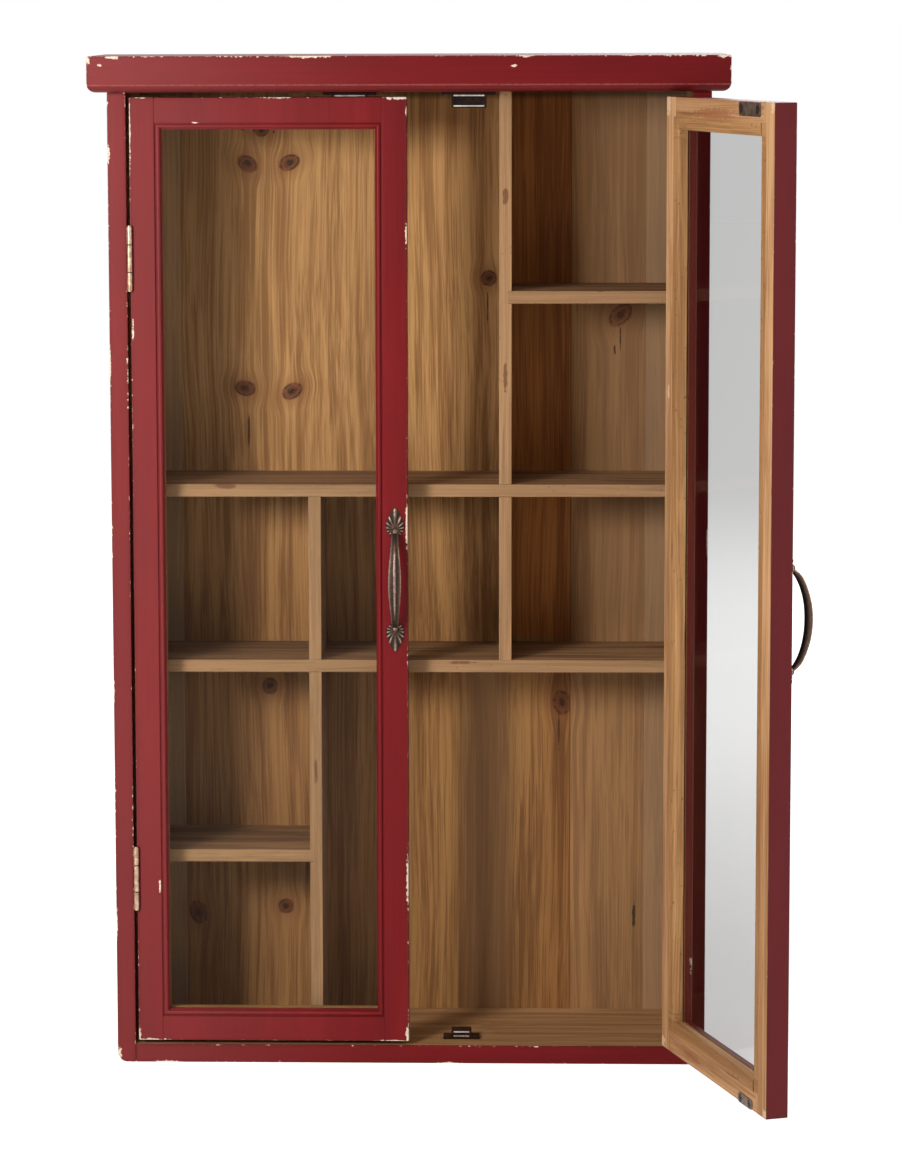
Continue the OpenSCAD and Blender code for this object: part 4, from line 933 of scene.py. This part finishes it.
def build_metalwork():
    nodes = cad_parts
    for name in nodes:
        if "_leaf_" in name and "screws" not in name or name == "hinge_pins":
            wear_finish(nodes[name], HINGE_BRASS)
    for material, names in (
            (SCREW_STEEL, ("frame_leaf_screws", "left_wood_screws", "right_wood_screws", "catch_screws",
                           "hanger_screws", "back_panel_pins", "left_handle_screws", "right_handle_screws")),
            (ZINC, ("hanger_plate_left", "hanger_plate_right")),
            (STRIKES["left"], ("left_strike_top", "left_strike_bottom")),
            (STRIKES["right"], ("right_strike_top", "right_strike_bottom")),
            (POLES, ("catch_pole_plates",)),
            (FERRITE, ("catch_magnets",)),
            (seasoned("Dowel Beech", UPRIGHT, "shelf", 9.0), ("corner_dowels",))):
        for name in names:
            wear_finish(nodes[name], material)
    for name in ("top_catch_left", "top_catch_right", "bottom_catch_left", "bottom_catch_right"):
        soften(name, PLASTIC, width=0.7 * MM, shortest=5 * MM)


# ---- the cast pulls

LOWER_BAR = (
    # place along the pull, height over the door, half width, and how much the middle rib stands up, in mm
    (-37.6, 2.6, 2.7, 0.0), (-36.2, 4.6, 2.8, 0.0), (-34.4, 6.9, 2.9, 0.0), (-32.4, 9.0, 3.1, 0.1),
    (-30.0, 10.6, 3.3, 0.2), (-26.0, 12.4, 3.6, 0.5), (-21.0, 14.2, 4.1, 0.7), (-15.0, 15.8, 4.8, 0.7),
    (-9.0, 16.8, 5.3, 0.7), (-3.0, 17.2, 5.5, 0.7),
)
BAR_STATIONS = LOWER_BAR + tuple((-z, *rest) for z, *rest in reversed(LOWER_BAR))
BAR_STEP = 4 * MM  # between the rings before they are put in place
RIB_FOOT = 1.65  # height of the section where the rib rises
BAR_SECTION = (
    # share of the half width, height over the middle line in mm, relief
    (-1.0, 0.1, 0.75), (-0.88, 1.35, 0.95), (-0.62, 1.55, 0.45), (-0.26, 1.65, 0.30), (-0.13, 2.0, 0.9),
    (0.13, 2.0, 0.9), (0.26, 1.65, 0.30), (0.62, 1.55, 0.45), (0.88, 1.35, 0.95), (1.0, 0.1, 0.75),
    (0.80, -2.0, 0.35), (0.35, -3.3, 0.25), (-0.35, -3.3, 0.25), (-0.80, -2.0, 0.35),
)
PLATE_OUTLINE = (
    # angle from the tip in degrees, reach in mm
    (0, 18.0), (8, 15.6), (20, 12.2), (36, 9.9), (54, 8.5), (72, 7.5), (90, 7.0), (112, 6.6), (135, 6.1),
    (158, 5.9), (180, 5.8),
)
PLATE_ROWS = (
    # share of the outline and height in mm, from the rim inwards
    (1.0, 0.0), (1.0, 0.9), (0.93, 1.35), (0.82, 1.65), (0.68, 1.85), (0.52, 1.9), (0.40, 1.9), (0.30, 2.0),
    (0.20, 2.2),
)
PLATE_MIDDLE = 40.0
BOSS = (38.2, 3.5, 4.6, 1.15)  # place along the pull, radius and height in mm, stretch
PLATE_SPOKES = 96
PLATE_FLUTES = 14


def outline_reach(angle):
    """The end plate's reach in mm at an angle from its tip, scallops included."""
    for (a, ra), (b, rb) in zip(PLATE_OUTLINE, PLATE_OUTLINE[1:]):
        if a <= angle <= b:
            reach = ra + (rb - ra) * (angle - a) / (b - a)
            break
    return reach * (1 + 0.035 * math.cos(math.radians(angle * PLATE_FLUTES)) * min(1, angle / 12))


def set_relief(mesh, values):
    layer = mesh.attributes.get("relief") or mesh.attributes.new("relief", "FLOAT", "POINT")
    layer.data.foreach_set("value", values)


def cast_bar():
    """The arched bar: one ring of points drawn out from station to station."""
    count = len(BAR_SECTION)
    bpy.ops.mesh.primitive_circle_add(vertices=count, radius=3 * MM, fill_type="NGON")
    bar = bpy.context.active_object
    open_all(bar)
    for _ in BAR_STATIONS[1:]:
        bpy.ops.mesh.extrude_region_move(TRANSFORM_OT_translate={"value": (0, 0, BAR_STEP)})
    bpy.ops.object.mode_set(mode="OBJECT")
    mesh = bar.data
    order = sorted(range(len(mesh.vertices)), key=lambda i: round(mesh.vertices[i].co.z / BAR_STEP))
    relief = [0.0] * len(mesh.vertices)
    for row, (z, h, half, rib) in enumerate(BAR_STATIONS):
        ring = order[row * count:(row + 1) * count]
        ring.sort(key=lambda i: math.atan2(mesh.vertices[i].co.y, mesh.vertices[i].co.x))
        low, high = BAR_STATIONS[max(row - 1, 0)], BAR_STATIONS[min(row + 1, len(BAR_STATIONS) - 1)]
        slope = math.atan2(high[1] - low[1], high[0] - low[0])
        wave = 1 + 0.10 * math.sin(row * 2.1)
        for k, i in enumerate(ring):
            share, up, bright = BAR_SECTION[k]
            if up < 0:
                up *= min(1, h / 9)
            if abs(share) < 0.2 and up > 0:
                up = RIB_FOOT + rib * wave
                bright = 0.25 + 0.9 * min(1, rib)
            mesh.vertices[i].co = Vector((share * half, -(h + up * math.cos(slope)), z - up * math.sin(slope))) * MM
            relief[i] = bright
    set_relief(mesh, relief)
    return bar


def cast_plate():
    """One end plate: a pointed fan of flutes round a domed boss."""
    bpy.ops.mesh.primitive_circle_add(vertices=PLATE_SPOKES, radius=10 * MM, fill_type="NGON")
    plate = bpy.context.active_object
    open_all(plate)
    bpy.ops.mesh.select_mode(type="FACE")
    bpy.ops.mesh.extrude_region_move(TRANSFORM_OT_translate={"value": (0, 0, 1 * MM)})
    for _ in PLATE_ROWS[2:]:
        bpy.ops.mesh.inset(thickness=1.1 * MM, depth=0.3 * MM)
    bpy.ops.object.mode_set(mode="OBJECT")
    mesh = plate.data
    rings = {}
    for vertex in mesh.vertices:
        reach = math.hypot(vertex.co.x, vertex.co.y)
        rings.setdefault((round(vertex.co.z * 1e5), round(reach * 1e5)), []).append(vertex.index)
    relief = [0.0] * len(mesh.vertices)
    for row, (key, (share, height)) in enumerate(zip(sorted(rings), PLATE_ROWS)):
        depth = 0.42 * min(1, share * 1.3) if row > 1 else 0.0
        fade = min(1, max(0, (share - 0.28) * 3))
        for i in rings[key]:
            co = mesh.vertices[i].co
            angle = math.degrees(abs(math.atan2(co.x, co.y)))
            way = math.copysign(1, co.x)
            reach = outline_reach(angle) * share
            flute = math.cos(math.radians(angle * PLATE_FLUTES))
            high = height + depth * flute * fade
            mesh.vertices[i].co = Vector((
                way * math.sin(math.radians(angle)) * reach, -high,
                PLATE_MIDDLE + math.cos(math.radians(angle)) * reach)) * MM
            relief[i] = (0.5 + 0.5 * flute * fade) * (0.95 if row > 1 else 0.4)
    set_relief(mesh, relief)
    return plate


def cast_boss(z, radius, height, stretch):
    """A drop-shaped dome that the bar grows from."""
    bpy.ops.mesh.primitive_uv_sphere_add(segments=28, ring_count=14, radius=1.0)
    boss = bpy.context.active_object
    open_all(boss)
    bpy.ops.transform.resize(value=(radius * MM, height * MM, radius * stretch * MM))
    bpy.ops.mesh.bisect(plane_co=(0, 0.0002, 0), plane_no=(0, 1, 0), clear_outer=True, use_fill=True)
    bpy.ops.object.mode_set(mode="OBJECT")
    mesh = boss.data
    relief = []
    for vertex in mesh.vertices:
        up = -vertex.co.y / (height * MM)
        vertex.co.z += z * MM
        vertex.co.y -= 0.0012
        relief.append(0.95 if 0.25 < up < 0.5 else 0.35 + 0.5 * max(0, up))
    set_relief(mesh, relief)
    return boss


def turn_normals_out(piece):
    open_all(piece)
    bpy.ops.mesh.normals_make_consistent(inside=False)
    bpy.ops.object.mode_set(mode="OBJECT")


def cast_pull():
    """A whole pull at the middle of the frame, standing out along -Y."""
    parts = [cast_bar()]
    for sign in (1, -1):
        for part in (cast_plate(), cast_boss(*BOSS)):
            if sign < 0:
                for vertex in part.data.vertices:
                    vertex.co.z = -vertex.co.z
            parts.append(part)
    bpy.ops.object.select_all(action="DESELECT")
    for part in parts:
        part.select_set(True)
    bpy.context.view_layer.objects.active = parts[0]
    bpy.ops.object.join()
    pull = parts[0]
    turn_normals_out(pull)
    rounding = pull.modifiers.new("Cast rounding", "SUBSURF")
    rounding.levels = rounding.render_levels = 1
    bpy.ops.object.modifier_apply(modifier=rounding.name)
    bpy.ops.object.shade_smooth_by_angle(angle=math.radians(50))
    return pull


def build_pulls():
    left = cast_pull()
    only(left)
    bpy.ops.object.duplicate()
    right = bpy.context.active_object
    for vertex in left.data.vertices:
        vertex.co += HANDLE_PLACE
    for vertex in right.data.vertices:
        vertex.co = swung(vertex.co + HANDLE_PLACE)
    turn_normals_out(right)
    for piece, side, body in ((left, "left", LEFT_BODY), (right, "right", RIGHT_BODY)):
        piece.name = piece.data.name = side.title() + "_Pull"
        wear_finish(piece, BRONZE)
        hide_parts(side + "_handle")
        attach(piece, body)


place_camera()
build_studio()
build_carcass()
build_door("left", LEFT_BODY)
build_door("right", RIGHT_BODY)
build_metalwork()
build_pulls()
